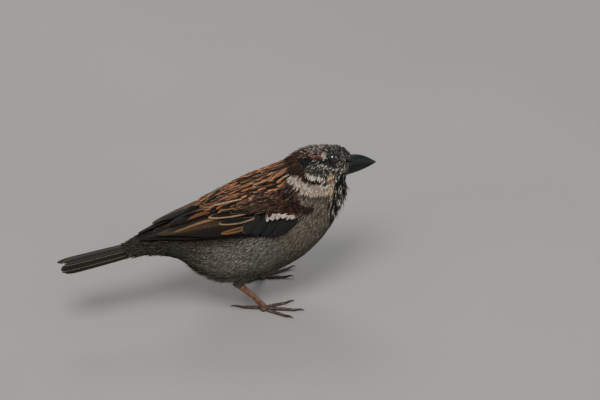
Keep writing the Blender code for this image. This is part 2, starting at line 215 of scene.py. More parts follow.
def grid_faces(rows, columns):
    """Quads of tubes whose rings have the given number of points, for one tube."""
    k = np.arange(columns)
    after = (k + 1) % columns
    row = np.arange(rows - 1)[:, None] * columns
    low, high = row + k, row + after
    return np.stack([low, high, high + columns, low + columns], -1).reshape(-1, 4)


def cap_faces(rows, columns):
    """Triangles that close both ends of a tube on two extra points after its rings."""
    k = np.arange(columns)
    after = (k + 1) % columns
    start, end = rows * columns, rows * columns + 1
    last = (rows - 1) * columns
    first = np.stack([np.full(columns, start), after, k], -1)
    final = np.stack([np.full(columns, end), last + k, last + after], -1)
    return np.concatenate([first, final])


def tubes(rings, uvs, attributes):
    """Arrays of many closed tubes: rings (tube, row, column, 3), the same shape for the rest.

    Each end closes on one point, beyond the last ring by END_REACH of the step between rings.
    """
    count, rows, columns, _ = rings.shape

    def closed(values):
        start, end = values[:, 0].mean(1), values[:, -1].mean(1)
        before = start + (start - values[:, 1].mean(1)) * END_REACH
        beyond = end + (end - values[:, -2].mean(1)) * END_REACH
        flat = values.reshape(count, rows * columns, *values.shape[3:])
        ends = np.stack([before, beyond], 1)
        return np.concatenate([flat, ends], 1).reshape(-1, *values.shape[3:])

    shift = (np.arange(count) * (rows * columns + 2))[:, None, None]
    return {
        "points": closed(rings),
        "quads": (grid_faces(rows, columns)[None] + shift).reshape(-1, 4),
        "triangles": (cap_faces(rows, columns)[None] + shift).reshape(-1, 3),
        "uvs": {title: closed(values) for title, values in uvs.items()},
        "attributes": {title: closed(values) for title, values in attributes.items()},
    }


def merged(*shells):
    """The arrays of several meshes as one: faces count on from the points that come before."""
    before = np.cumsum([0] + [len(shell["points"]) for shell in shells])
    run_on = lambda part: np.concatenate([shell[part] + at for shell, at in zip(shells, before)])
    stacked = lambda part: {
        title: np.concatenate([shell[part][title] for shell in shells]) for title in shells[0][part]
    }
    return {
        "points": np.concatenate([shell["points"] for shell in shells]),
        "quads": run_on("quads"),
        "triangles": run_on("triangles"),
        "uvs": stacked("uvs"),
        "attributes": stacked("attributes"),
    }


def place(mesh, material, slot, *nodes):
    """Puts a finished piece in the scene, rides it on the bird and lets it stand for CAD nodes."""
    piece = bpy.data.objects.new(mesh.name, mesh)
    bpy.context.scene.collection.objects.link(piece)
    mesh.materials.append(material)
    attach(piece, "root")
    if nodes:
        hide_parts(*nodes)


# ---- feathers

# Cross-sections of a vane, as (share of the half width, share of the crown's height).
BROAD_VANE = np.array(((-1, 0), (-0.5, 0.8), (0, 1), (0.5, 0.8), (1, 0), (0, -0.35)), float)
NARROW_VANE = np.array(((-1, 0), (0, 1), (1, 0), (0, -0.4)), float)
NO_SPLIT = 99.0  # a split this far out leaves both webs of a vane in the centre's colour


def vanes(name, feathers, section):
    """Feathers as closed lens-shaped tubes.

    Each ring is the section scaled by the half width across the feather and by the crown's
    height along its normal, about the feather's middle line; its share of the length is measured
    along that line.  Margin is the distance from the nearest edge, in millimetres: side widens
    it along the sides so that only the tip is near, and lop does so past the middle, away from
    hand.  Hand is 1 or -1, and turns the web past the split to the same side on both wings.
    """
    q, rise = section[:, 0], section[:, 1]
    line, across, normal = (feathers[key][:, :, None] for key in ("line", "across", "normal"))
    half, crown = feathers["half"][:, :, None], feathers["crown"][:, :, None]
    rings = line + across * (half * q)[..., None] + normal * (crown * rise)[..., None]
    full = rings.shape[:3]
    steps = np.linalg.norm(np.diff(feathers["line"], axis=1), axis=-1)
    run = np.concatenate([np.zeros((full[0], 1)), np.cumsum(steps, axis=1)], axis=1)
    share = (run / run[:, -1:])[:, :, None]

    def spread(values):
        values = np.asarray(values, float)
        if values.ndim == 0:
            return np.broadcast_to(values, full)
        if values.shape[1:] == (full[1],):
            return np.broadcast_to(values[:, :, None], full)
        return np.broadcast_to(values[:, None, None], full + values.shape[1:])

    length, side = spread(feathers["length"]), spread(feathers.get("side", 1.0))
    hand = spread(feathers.get("hand", 1.0))
    side = side * (1 + spread(feathers.get("lop", 0.0)) * (q * hand < 0))
    margin = np.minimum(half * side * (1 - np.abs(q)), length * (1 - share))
    patch = np.stack([np.broadcast_to(q, full), np.broadcast_to(share * 2 - 1, full)], -1)
    bake = spread(feathers["root_uv"]) + patch * spread(feathers["patch"]) / 2
    vane = np.stack([half * q * hand, length * share], -1)
    attributes = {key.title(): spread(feathers[key]) for key in ("centre", "edge", "fringe")}
    attributes |= {"Margin": margin, "Split": spread(feathers.get("split", NO_SPLIT))}
    attributes["Phase"] = spread(feathers["phase"])
    return smooth_mesh(name, **tubes(rings, {BAKE_MAP: bake, VANE_MAP: vane}, attributes))


def vane_outline(share, blunt=0.55, base=0.35):
    """Half width along a vane: widens from its base, then closes in an elliptic tip."""
    widening = base + (1 - base) * np.sin(np.clip(share / 0.5, 0, 1) * math.pi / 2)
    tip = np.clip((share - blunt) / (1 - blunt), 0, 0.99)
    return widening * np.sqrt(1 - tip**2)


def stations(rings):
    """Places of a feather's rings from root to tip, closer together towards the tip."""
    return 1 - (1 - np.linspace(0, 1, rings)) ** 1.5


def faced(surface, p, q, steps, facing):
    """Point and normal of any surface(p, q), from differences, on the side that faces facing."""
    step_p, step_q = steps
    along = (surface(p + step_p, q) - surface(p - step_p, q)) / (2 * step_p)
    around = (surface(p, q + step_q) - surface(p, q - step_q)) / (2 * step_q)
    normal = unit(np.cross(around, along))
    return surface(p, q), normal * np.sign((normal * facing).sum(-1, keepdims=True))


def laid(surface, steps, facing, root, tip, bulge, lift, tilt, rings):
    """Feathers laid on surface(p, q) from root to tip, as middle line, across and normal.

    The line runs from root to tip and bulges in q by bulge times sin(pi s); lift (feather, ring)
    stands it off the surface on the side that faces facing; tilt rolls it about its own line.
    """
    s = stations(rings)[None, :]
    run = tip - root
    bow = np.sin(math.pi * s) * bulge[:, None]
    p = root[:, :1] + run[:, :1] * s + 0 * bow
    q = root[:, 1:] + run[:, 1:] * s + bow
    point, normal = faced(surface, p, q, steps, facing)
    line = point + normal * lift[..., None]
    ahead = unit(np.gradient(line, axis=1))
    across = unit(np.cross(ahead, normal))
    normal = unit(np.cross(across, ahead))
    length = np.linalg.norm(np.diff(line, axis=1), axis=-1).sum(1)
    return line, swung(across, normal, tilt), swung(normal, -across, tilt), length


def traced(u, a, swing, length, rings, lift):
    """Middle lines of feathers that lie on the body and point to the tail.

    Each step moves along the surface by the same distance, in the direction of falling u turned
    by swing, and stands off the skin by lift, which runs along the feather.  Past the body's
    hind end the line goes straight on.  Gives the line, across, normals and the (u, a) passed.
    """
    step = (length / (rings - 1))[:, None]
    line, normals, across, passed = [], [], [], []
    past = np.zeros((len(u), 1))
    for ring in range(rings):
        point, along, around, normal = body_frame(u, a)
        back = unit(-along)
        aim = swung(back, np.cross(normal, back), swing)
        line.append(point + normal * lift[:, ring : ring + 1] + aim * past)
        normals.append(normal)
        across.append(np.cross(aim, normal))
        passed.append(np.stack([u, a], -1))
        e, f, g = (along**2).sum(-1), (along * around).sum(-1), (around**2).sum(-1)
        move = aim * step
        p, q = (move * along).sum(-1), (move * around).sum(-1)
        area = np.maximum(e * g - f * f, 1e-6)
        ahead = u + (g * p - f * q) / area
        past = past + (np.maximum(-ahead, 0) * np.sqrt(e))[:, None]
        u = np.clip(ahead, 0, 1)
        a = a + (e * q - f * p) / area
    return [np.stack(values, 1) for values in (line, across, normals, passed)]


ROOT_STEPS = (0.7548776662, 0.5698402910)  # steps of the low-discrepancy sequence
BARE_END = 0.012  # u of the body's hind end, which bears no feathers


def spread_roots(count, spacing, seed):
    """Evenly scattered roots (u, a), as many to an area as the spacing there asks for.

    A low-discrepancy sequence is pushed through the running sums of area / spacing squared,
    first over u and then, row by row, over a.
    """
    rows, columns = 240, 180
    u = (np.arange(rows) + 0.5) / rows
    a = np.arange(columns + 1) / columns * TURN
    grid_u, grid_a = np.meshgrid(u, a, indexing="ij")
    _, along, around, _ = body_frame(grid_u, grid_a)
    area = np.linalg.norm(np.cross(along, around), axis=-1)
    weight = area / spacing(grid_u) ** 2
    weight = np.where(grid_u < BARE_END, 0, weight)
    per_row = weight[:, :-1].mean(1)
    down = np.concatenate([[0], np.cumsum(per_row)]) / per_row.sum()
    across = np.cumsum((weight[:, :-1] + weight[:, 1:]) / 2, axis=1)
    across = np.concatenate([np.zeros((rows, 1)), across], 1)
    across = across / np.maximum(across[:, -1:], 1e-9) * (1 - 1e-6)
    index = np.arange(count) + seed
    first, second = ((0.5 + index * step) % 1 for step in ROOT_STEPS)
    found_u = np.interp(first, down, np.linspace(0, 1, rows + 1))
    row = np.clip((found_u * rows).astype(int), 0, rows - 1)
    flat = (across + np.arange(rows)[:, None]).ravel()
    found_a = np.interp(row + second, flat, np.tile(a, rows))
    return found_u, found_a


SKIN_MAP = (0.01, 0.12, 0.98, 0.87)  # corner and size of the body's place on the skin's unwrap
THIGH_MAP = (0.01, 0.01, 0.46, 0.10)  # and of a thigh's, the left one half a map over


def skin_uv(u, a):
    """Place on the unwrap of the skin: round the body by along it, above the thighs' strip."""
    left, low, wide, tall = SKIN_MAP
    return np.stack([left + wide * (a / TURN % 1), low + tall * u], -1)


def thigh_uv(side, share, angle):
    """Place on the same unwrap for a thigh: round it by down it."""
    left, low, wide, tall = THIGH_MAP
    return np.stack([left + 0.5 * (side > 0) + wide * (angle / TURN % 1), low + tall * share], -1)


CELL_SHAPE = 4  # length over width of a large feather's cell of the bake map
CELL_FILL = (0.9, 0.9 / 1.3)  # share of a cell's width and height that its feather takes
CELL_ROWS = (0.01, 0.99)  # where the rows of cells start and end


def mapped(feathers):
    """Gives each large feather its own cell of the bake map, row by row."""
    count = len(feathers["length"])
    first, last = CELL_ROWS
    height = last - first
    columns = math.ceil(math.sqrt(count * CELL_SHAPE / height))
    rows = math.ceil(count / columns)
    index = np.arange(count)
    column, row = index % columns, index // columns
    centre = np.stack([(column + 0.5) / columns, first + (row + 0.5) / rows * height], -1)
    size = np.array([1 / columns, height / rows]) * CELL_FILL
    return feathers | {"root_uv": centre, "patch": np.broadcast_to(size, (count, 2))}


# ---- colours


def linear(red, green, blue):
    """An sRGB colour of 0 to 255 as linear values."""
    value = np.array([red, green, blue]) / 255
    return np.where(value <= 0.04045, value / 12.92, ((value + 0.055) / 1.055) ** 2.4)


def tint(name, description, *rgb):
    """A colour that can be set, its default from 0 to 255."""
    return FloatVectorProperty(
        name=name, description=description, subtype="COLOR", size=3, min=0, max=1,
        default=tuple(linear(*rgb)),
    )


class PlumageColours(bpy.types.PropertyGroup):
    """Colours of the coat, by region."""

    crown: tint("Crown", "Grey brown", 92, 78, 66)
    brow: tint("Brow", "Rufous band beside the crown", 88, 58, 42)
    nape: tint("Nape", "Brown, also of the neck's side", 58, 43, 33)
    streak: tint("Streak", "Chestnut, behind the eye", 112, 76, 64)
    spot: tint("Spot", "Pale, behind the eye", 226, 204, 192)
    mask: tint("Mask", "Blackish grey, also of the lores", 31, 35, 33)
    cheek: tint("Cheek", "Grey ear coverts", 60, 59, 52)
    cream: tint("Cream", "Cream, under the cheek", 250, 228, 200)
    # Painted shade: this dark colour is laid as the shadow under the cheek's lower edge and between the
    # collar and the breast.
    line: tint("Line", "Dark, above the collar", 30, 32, 29)
    collar: tint("Collar", "Pale grey collar", 198, 178, 160)
    buff: tint("Buff", "Buff, behind the bib", 210, 172, 134)
    bib: tint("Bib", "Black bib", 20, 22, 18)
    breast: tint("Breast", "Grey breast", 116, 107, 94)
    # Partly painted shade: the belly's grey is set darker than the flank's, for the shade under the
    # body.
    belly: tint("Belly", "Grey belly", 98, 94, 82)
    flank: tint("Flank", "Grey flank", 118, 115, 104)
    # Partly painted shade: the undertail's grey is set dark for the shade under the hind body.
    under: tint("Undertail", "Grey undertail", 60, 61, 53)
    back: tint("Back", "Brown grey lower back", 66, 55, 44)
    rump: tint("Rump", "Dark olive grey, also of the tail coverts", 56, 53, 43)
    fleck: tint("Flecks", "Pale tips scattered over the head", 214, 204, 190)


class WingColours(bpy.types.PropertyGroup):
    """Colours of the wings, back and tail."""

    black: tint("Centres", "Black centres of the coverts and tertials", 13, 14, 12)
    quill: tint("Quills", "Dark brown", 32, 29, 25)
    brown: tint("Brown", "Brown webs of the upper flight feathers", 92, 74, 54)
    rufous: tint("Rufous", "Rufous outer webs", 108, 70, 48)
    orange: tint("Orange", "Orange buff edges of the back", 172, 104, 60)
    buff: tint("Buff", "Buff edges", 176, 146, 116)
    ochre: tint("Ochre", "Ochre webs of the tertials and inner coverts", 128, 92, 60)
    chestnut: tint("Chestnut", "Chestnut lesser coverts", 70, 49, 39)
    fawn: tint("Fawn", "Greyish, of the hind lesser coverts", 118, 98, 84)
    # Partly painted shade: the greater coverts' own dark centres, darkened further for the shade under
    # the wing bar.
    dusky: tint("Dusky", "Dusky greater coverts", 31, 34, 30)
    bar: tint("Bar", "White wing bar", 206, 188, 174)
    tail: tint("Tail", "Dark brown tail", 32, 30, 24)
    tail_edge: tint("Tail edges", "Pale", 168, 156, 132)


def coat_hue(name):
    """One of the plumage's colours, as they are set in the scene."""
    return np.array(getattr(bpy.context.scene.plumage_colours, name))


def hue(name):
    """One of the colours of the wings, back and tail, as they are set in the scene."""
    return np.array(getattr(bpy.context.scene.wing_colours, name))


# ---- markings


def stroke(points, route, width):
    """Mask of a band of half width about a route of (x, z) points, seen from the side."""
    route = np.array(route, float)
    flat = points[..., [0, 2]]
    reach = np.full(flat.shape[:-1], 1e9)
    for start, end in zip(route[:-1], route[1:]):
        run = end - start
        t = np.clip(((flat - start) @ run) / (run @ run), 0, 1)
        reach = np.minimum(reach, np.linalg.norm(flat - start - t[..., None] * run, axis=-1))
    return 1 - smooth(width * 0.75, width * 1.35, reach)


def tapered_stroke(points, route, widths):
    """A stroke whose half width runs from one value to the next at the route's points."""
    masks = [
        stroke(points, (route[k], route[k + 1]), (widths[k] + widths[k + 1]) / 2)
        for k in range(len(route) - 1)
    ]
    return np.max(masks, axis=0)


def blob(points, centre, radii):
    """Mask of an ellipsoid about (x, |y|, z)."""
    gap = np.stack([points[..., 0], np.abs(points[..., 1]), points[..., 2]], -1) - np.array(centre)
    return 1 - smooth(0.75, 1.25, np.linalg.norm(gap / np.array(radii), axis=-1))


COLLAR_ROUTE = (
    (29.8, 61.9), (32.7, 60.2), (35.7, 57.6), (40.3, 55.8), (45.0, 54.8), (48.8, 54.0), (51.6, 53.4),
)
COLLAR_WIDTHS = (0.9, 1.6, 2.1, 2.4, 2.5, 2.7, 2.4)
# Height, and x of the bib's hind edge there.
BIB_EDGE = np.array(
    ((33.0, 52.0), (40.0, 50.1), (44.3, 49.7), (49.0, 50.2), (53.2, 50.9), (56.0, 51.2), (58.0, 53.6))
)
# Height, and half the bib's width there.
BIB_HALF = np.array(((33.0, 5.5), (38.0, 9.0), (44.0, 12.5), (50.0, 13.0), (58.0, 12.0)))


WAVES = 5


def wobble(points, scale, seed):
    """A smooth pseudo-random value of about -1 to 1: a sum of sines in slanted directions."""
    rng = np.random.default_rng(seed)
    total = 0.0
    for _ in range(WAVES):
        direction = rng.normal(size=3)
        total = total + np.sin(points @ (direction / scale) + rng.uniform(0, TURN))
    return total / (WAVES / 2)


def bib_mask(points):
    """1 inside the bib: ahead of its hind edge, within its half width and under the bill."""
    x, y, z = points[..., 0], np.abs(points[..., 1]), points[..., 2]
    ahead = smooth(-0.8, 1.0, x - np.interp(z, *BIB_EDGE.T))
    inside = smooth(0.8, -0.8, y - np.interp(z, *BIB_HALF.T))
    return ahead * inside * smooth(58.2, 57.0, z) * smooth(31.5, 34.5, z)


def plumage(points):
    """Colour of the coat at points of the body before the head's roll, and the share of pale tips.

    Regions are laid over one another from the belly up, each a mask times its colour.
    """
    x, y, z = points[..., 0], np.abs(points[..., 1]), points[..., 2]
    points = points + np.stack([wobble(points, 2.2, 1), 0 * x, wobble(points, 2.0, 2)], -1) * 0.35
    # The belly's grey is the base; it is darker than the flank's, partly painted shade under the body.
    colour = np.broadcast_to(coat_hue("belly"), points.shape)
    flecks = np.full(x.shape, 0.20)

    def lay(name, mask, fleck):
        nonlocal colour, flecks
        colour = colour + (coat_hue(name) - colour) * mask[..., None]
        flecks = flecks + (fleck - flecks) * mask

    lay("flank", smooth(18, 32, z) * smooth(30, 14, x) * smooth(-14, 0, x), 0.26)
    lay("breast", smooth(20, 32, x) * smooth(22, 34, z), 0.24)
    # Partly painted shade: the undertail's dark grey carries the shade under the hind body.
    lay("under", smooth(-8, -22, x), 0.12)
    top, low = (np.interp(x, BODY_LADDER[:, k], BODY_LADDER[:, k + 1]) for k in (0, 2))
    lay("back", smooth(0.42, 0.26, (top - z) / (top - low)) * smooth(27, 20, x), 0.12)
    lay("rump", smooth(-20, -29, x) * smooth(32, 35, z), 0.12)
    lay("nape", smooth(55, 60.5, z - 0.1 * (30 - x)) * smooth(25, 30, x) * smooth(56, 50, x), 0.16)
    lay("mask", smooth(53.5, 56.5, x) * smooth(60, 62, z), 0.15)
    lay("brow", stroke(points, ((48.5, 69.4), (42.6, 68.8), (38.5, 67.6), (35.0, 66.0)), 1.0), 0.12)
    lay("crown", smooth(68.7, 69.7, z) * smooth(38, 43, x) * smooth(57.5, 54, x), 0.24)
    lay("cheek", stroke(points, ((40.4, 63.4), (45.0, 63.0), (50.5, 61.0)), 2.3), 0.32)
    lay("mask", blob(points, (55.4, 7.0, 65.0), (6.8, 8.5, 4.6)), 0.18)
    lay("mask", stroke(points, ((51.0, 66.0), (45.2, 66.2), (40.5, 66.4), (37.6, 66.6)), 1.1), 0.10)
    lay("cheek", blob(points, (54.0, 9.5, 60.4), (3.6, 5.0, 1.8)), 0.24)
    lay("streak", stroke(points, ((46.2, 67.2), (42.4, 67.3)), 0.55), 0.05)
    lay("spot", blob(points, (47.7, 8.0, 67.4), (1.25, 4.0, 1.0)), 0.0)
    # Painted shade: a dark band between the collar and the breast, at the shoulder's start.
    lay("line", stroke(points, ((36.5, 54.6), (41.8, 52.4), (47.5, 50.6)), 1.1) * 0.6, 0.1)
    lay("collar", tapered_stroke(points, COLLAR_ROUTE, COLLAR_WIDTHS) * smooth(1.5, 4.0, y), 0.05)
    # Painted shade: a dark band under the cheek's lower edge, where the ear coverts overhang the collar.
    lay("line", stroke(points, ((38.2, 61.2), (40.8, 59.6), (43.4, 58.4), (46.8, 57.0)), 0.6), 0.0)
    lay("cream", stroke(points, ((38.9, 62.1), (41.0, 61.1), (44.0, 59.6), (46.0, 58.4)), 0.66), 0.0)
    lay("streak", blob(points, (47.0, 9.5, 58.2), (0.7, 4.0, 0.6)), 0.0)
    lay("buff", blob(points, (49.3, 9.4, 58.7), (1.9, 5.0, 1.3)), 0.1)
    lay("buff", stroke(points, ((50.2, 56.6), (49.4, 53.6), (49.0, 50.2)), 0.8) * 0.6, 0.1)
    lay("bib", bib_mask(points), 0.07)
    return np.clip(colour, 0, 1), flecks


# ---- materials


def group(name, inputs, outputs):
    """A shader node group of number sockets: its tree, what it is given and where it puts out."""
    tree = bpy.data.node_groups.new(name, "ShaderNodeTree")
    for title, default in inputs.items():
        socket = tree.interface.new_socket(title, in_out="INPUT", socket_type="NodeSocketFloat")
        socket.default_value = default
    for title in outputs:
        tree.interface.new_socket(title, in_out="OUTPUT", socket_type="NodeSocketFloat")
    given, out = tree.nodes.new("NodeGroupInput"), tree.nodes.new("NodeGroupOutput")
    return Nodes(tree), given.outputs, out.inputs


class Nodes:
    """Short ways to add and join shader nodes in one tree."""

    def __init__(self, tree):
        self.tree = tree

    def add(self, kind, inputs=(), **settings):
        node = self.tree.nodes.new("ShaderNode" + kind)
        for key, value in settings.items():
            setattr(node, key, value)
        for key, value in dict(inputs).items():
            self.join(value, node.inputs[key])
        return node

    def join(self, value, socket):
        if isinstance(value, bpy.types.NodeSocket):
            self.tree.links.new(value, socket)
        else:
            socket.default_value = value

    def math(self, operation, first, second=0.0):
        node = self.add("Math", {0: first, 1: second}, operation=operation)
        return node.outputs[0]

    def step(self, value, low, high, start=0.0, end=1.0):
        """Smooth step of value from low to high, put out as start to end."""
        node = self.add("MapRange", interpolation_type="SMOOTHSTEP")
        for key, number in zip(range(5), (value, low, high, start, end)):
            self.join(number, node.inputs[key])
        return node.outputs[0]

    def mix(self, share, first, second, blend="MIX"):
        node = self.add("Mix", data_type="RGBA", blend_type=blend)
        for key, value in zip((0, 6, 7), (share, first, second)):
            self.join(value, node.inputs[key])
        return node.outputs[2]

    def shaded(self, colour, depth):
        """Colour times a grey depth."""
        grey = self.add("CombineColor", {0: depth, 1: depth, 2: depth}).outputs[0]
        return self.mix(1.0, colour, grey, "MULTIPLY")

    def attribute(self, name, output="Fac"):
        return self.add("Attribute", attribute_name=name).outputs[output]

    def object_place(self):
        return self.add("TexCoord").outputs["Object"]

    def vane_place(self):
        """Millimetres across a vane from its shaft, and along it from its root."""
        vane = self.add("UVMap", uv_map=VANE_MAP).outputs["UV"]
        return self.add("SeparateXYZ", {"Vector": vane}).outputs[:2]

    def noise(self, vector, scale, detail=2.0, roughness=0.5):
        return self.add(
            "TexNoise", {"Vector": vector, "Scale": scale, "Detail": detail, "Roughness": roughness}
        ).outputs["Fac"]

    def bump(self, height, strength, reach):
        """Normal of a surface raised by height, reach metres at most."""
        made = self.add("Bump", {"Height": height, "Strength": strength, "Distance": reach})
        return made.outputs["Normal"]

    def use(self, name, inputs):
        """Outputs of a shared group, which is built the first time that it is asked for."""
        tree = bpy.data.node_groups.get(name) or GROUPS[name]()
        return self.add("Group", inputs, node_tree=tree).outputs

    def finish(self, colour, rough, normal=None, others=()):
        """Joins or sets inputs of the material's own surface."""
        inputs = {"Base Color": colour, "Roughness": rough, **dict(others)}
        if normal:
            inputs["Normal"] = normal
        for title, value in inputs.items():
            self.join(value, self.tree.nodes["Principled BSDF"].inputs[title])


def barbs_group():
    """Barbs of a vane: fine lines that run from its shaft out to its edges, and the shaft.

    Lines are noise of (along - |across| * lean) * pitch, drawn out along them.  Gives their
    shade from 0 to 1 and the shaft's mask.
    """
    inputs = {"Pitch": 9.0, "Lean": 0.9, "Shaft": 0.12}
    n, given, out = group("Feather barbs", inputs, ("Lines", "Shaft"))
    across, along = n.vane_place()
    spread = n.math("ABSOLUTE", across)
    lean = n.math("SUBTRACT", along, n.math("MULTIPLY", spread, given["Lean"]))
    pitch = n.math("MULTIPLY", lean, given["Pitch"])
    where = n.add("CombineXYZ", {"X": pitch, "Y": across, "Z": n.attribute("Phase")})
    n.join(n.step(n.noise(where.outputs[0], 1.0, 3.0, 0.6), 0.3, 0.7), out["Lines"])
    inner = n.math("MULTIPLY", given["Shaft"], 0.4)
    n.join(n.step(spread, inner, given["Shaft"], 1.0, 0.0), out["Shaft"])
    return n.tree


def vane_pattern_group():
    """Mask of a vane's edge colour: its fringe, ragged by noise, and the web past its split."""
    n, given, out = group("Vane pattern", {"Lines": 0.5, "Raggedness": 0.35}, ("Mask",))
    across, along = n.vane_place()
    drift = n.add("CombineXYZ", {"X": n.math("MULTIPLY", along, 0.35), "Y": n.attribute("Phase")})
    sway = n.math("SUBTRACT", n.noise(drift.outputs[0], 1.0, 1.0), 0.5)
    stray = n.math("ADD", n.math("SUBTRACT", given["Lines"], 0.5), sway)
    ragged = n.math("MULTIPLY", stray, given["Raggedness"])
    fringe = n.attribute("Fringe")
    reach = n.math("ADD", n.attribute("Margin"), n.math("MULTIPLY", ragged, fringe))
    narrow, wide = n.math("MULTIPLY", fringe, 0.75), n.math("MULTIPLY", fringe, 1.25)
    edge = n.step(reach, narrow, n.math("ADD", wide, 0.001), 1.0, 0.0)
    past = n.math("SUBTRACT", n.math("ADD", across, ragged), n.attribute("Split"))
    n.join(n.math("MAXIMUM", edge, n.step(past, -0.12, 0.12)), out["Mask"])
    return n.tree


def mottle_group():
    """Uneven depth of colour: noise on the object, stepped from low to high."""
    inputs = {"Scale": 900.0, "Detail": 3.0, "Low": 0.6, "High": 1.2}
    n, given, out = group("Mottle", inputs, ("Depth", "Noise"))
    grain = n.noise(n.object_place(), given["Scale"], given["Detail"], 0.6)
    n.join(n.step(grain, 0.3, 0.72, given["Low"], given["High"]), out["Depth"])
    n.join(grain, out["Noise"])
    return n.tree


GROUPS = {"Feather barbs": barbs_group, "Vane pattern": vane_pattern_group, "Mottle": mottle_group}


def blank(name):
    """A new material of that name, and its nodes."""
    made = bpy.data.materials.new(name)
    made.use_nodes = True
    return made, Nodes(made.node_tree)


# Feathers: roughness, barbs to a millimetre, shade between barbs, bump, shaft and sheen.
FEATHER_FINISHES = {
    "soft_coat": (0.75, 7.0, 0.55, 0.35, 0.03, 0.05),
    "firm_vane": (0.66, 9.0, 0.24, 0.3, 0.12, 0.03),
}


def feather_material(name):
    """Feathers: centre and edge colours by the vane's pattern, darkened between the barbs."""
    found = bpy.data.materials.get(name)
    if found:
        return found
    roughness, pitch, shade, bump, shaft, sheen = FEATHER_FINISHES[name]
    made, n = blank(name)
    lines, stem = n.use("Feather barbs", {"Pitch": pitch, "Shaft": shaft})[:2]
    mask = n.use("Vane pattern", {"Lines": lines})[0]
    colour = n.mix(mask, n.attribute("Centre", "Color"), n.attribute("Edge", "Color"))
    uneven = {"Scale": 900.0, "Low": 1 - shade * 0.6, "High": 1 + shade * 0.5}
    mottle = n.use("Mottle", uneven)[0]
    barbed = n.math("ADD", n.math("MULTIPLY", lines, shade), 1 - shade * 0.55)
    colour = n.shaded(colour, n.math("MULTIPLY", barbed, mottle))
    colour = n.mix(n.math("MULTIPLY", stem, 0.5), colour, (0.008, 0.006, 0.005, 1))
    rough = n.math("SUBTRACT", roughness + 0.1, n.math("MULTIPLY", lines, 0.2))
    relief = n.math("ADD", lines, n.math("MULTIPLY", stem, 1.5))
    others = {"Specular IOR Level": 0.18, "Sheen Weight": sheen, "Sheen Roughness": 0.5}
    n.finish(colour, rough, n.bump(relief, bump, 0.0001), others)
    return made


def down_material():
    """Down under the coat: its markings, darker, with a soft felted bump."""
    found = bpy.data.materials.get("down")
    if found:
        return found
    made, n = blank("down")
    colour = n.mix(0.45, n.attribute("Centre", "Color"), (0.03, 0.028, 0.026, 1))
    felt = n.use("Mottle", {"Scale": 2200.0, "Detail": 4.0, "Low": 0.55, "High": 1.1})
    rough, normal = n.step(felt[1], 0.2, 0.8, 0.95, 0.8), n.bump(felt[1], 0.6, 0.0004)
    n.finish(n.shaded(colour, felt[0]), rough, normal, {"Specular IOR Level": 0.15})
    return made


# ---- skin and coat


def coat_depth(u):
    """Depth of the coat over the skin in millimetres: thin on the face, deep on the belly."""
    return 0.75 + 0.75 * smooth(0.78, 0.45, u)


def skin(u, a):
    """The body's surface, sunk along its normal by the coat's depth."""
    point, _, _, normal = body_frame(u, a)
    return point - normal * coat_depth(u)[..., None]


EYE_CENTRE = (52.6, 6.95, 65.1)  # left eye before the head's roll
EYE_RADIUS = 2.9
EYE_OPENING = 0.74 * EYE_RADIUS  # radius of the ring of the lids


def eye_gap(points):
    """Distance along the cheek from the nearer eye's middle, for points before the roll."""
    x, _, z = EYE_CENTRE
    return np.hypot(points[..., 0] - x, points[..., 2] - z)


def coat_spacing(u):
    """Distance between tufts: close on the face, wider in three steps to the tail."""
    near, far = 0.28 * smooth(0.84, 0.62, u), 0.10 * smooth(0.62, 0.45, u)
    return 0.40 + near + far + 0.15 * smooth(0.2, 0.1, u)


def under_wing(points):
    """True where a folded wing covers the body: between its edges, seen from the side."""
    x, y, z = points[..., 0], np.abs(points[..., 1]), points[..., 2]
    low_y, low_z, up_y, up_z = wing_at(x, 1, 2, 3, 4)
    wide, tall = up_y - low_y, up_z - low_z
    share = ((y - low_y) * wide + (z - low_z) * tall) / (wide**2 + tall**2)
    return (share > 0.16) & (share < 0.9) & (x > -31) & (x < 33.5)


SKIN_ROWS, SKIN_COLUMNS = 220, 132
THIGH_ROWS, THIGH_COLUMNS = 40, 36
THIGH_COAT = 0.9


def skin_shells():
    """The skin: body(u, a) sunk by the coat's depth, and each thigh's tube sunk likewise."""
    u, a = np.meshgrid(np.linspace(0, 1, SKIN_ROWS), turns(SKIN_COLUMNS), indexing="ij")
    colour, _ = plumage(plain_body(u, a)[0])
    shells = [tubes(skin(u, a)[None], {BAKE_MAP: skin_uv(u, a)[None]}, {"Centre": colour[None]})]
    for leg in LEGS.values():
        share, turn = np.meshgrid(np.linspace(0, 1, THIGH_ROWS), turns(THIGH_COLUMNS), indexing="ij")
        points = thigh_point(leg, share, turn, THIGH_COAT)
        # The thighs' skin takes the belly's grey, which is partly painted shade.
        tone = np.broadcast_to(coat_hue("belly"), points.shape)
        uv = thigh_uv(leg["side"], share, turn)
        shells.append(tubes(points[None], {BAKE_MAP: uv[None]}, {"Centre": tone[None]}))
    return merged(*shells)


TUFT_PATCH = 0.003
TUFT_RINGS = 4
TUFT_OUTLINE = np.array([0.55, 1.0, 0.85, 0.14])  # half width at each ring
TIP_ONLY = 40.0  # side of a feather whose edge colour shows at its tip alone
PHASES = 50.0  # how far apart the patterns of two feathers may be read


def tufted(root_uv, rng, **look):
    """Small feathers for vanes: the arrays given, a patch of the bake map and a phase for each."""
    patch = np.full(root_uv.shape, TUFT_PATCH)
    phase = rng.uniform(0, PHASES, len(root_uv))
    return look | {"root_uv": root_uv, "patch": patch, "phase": phase}


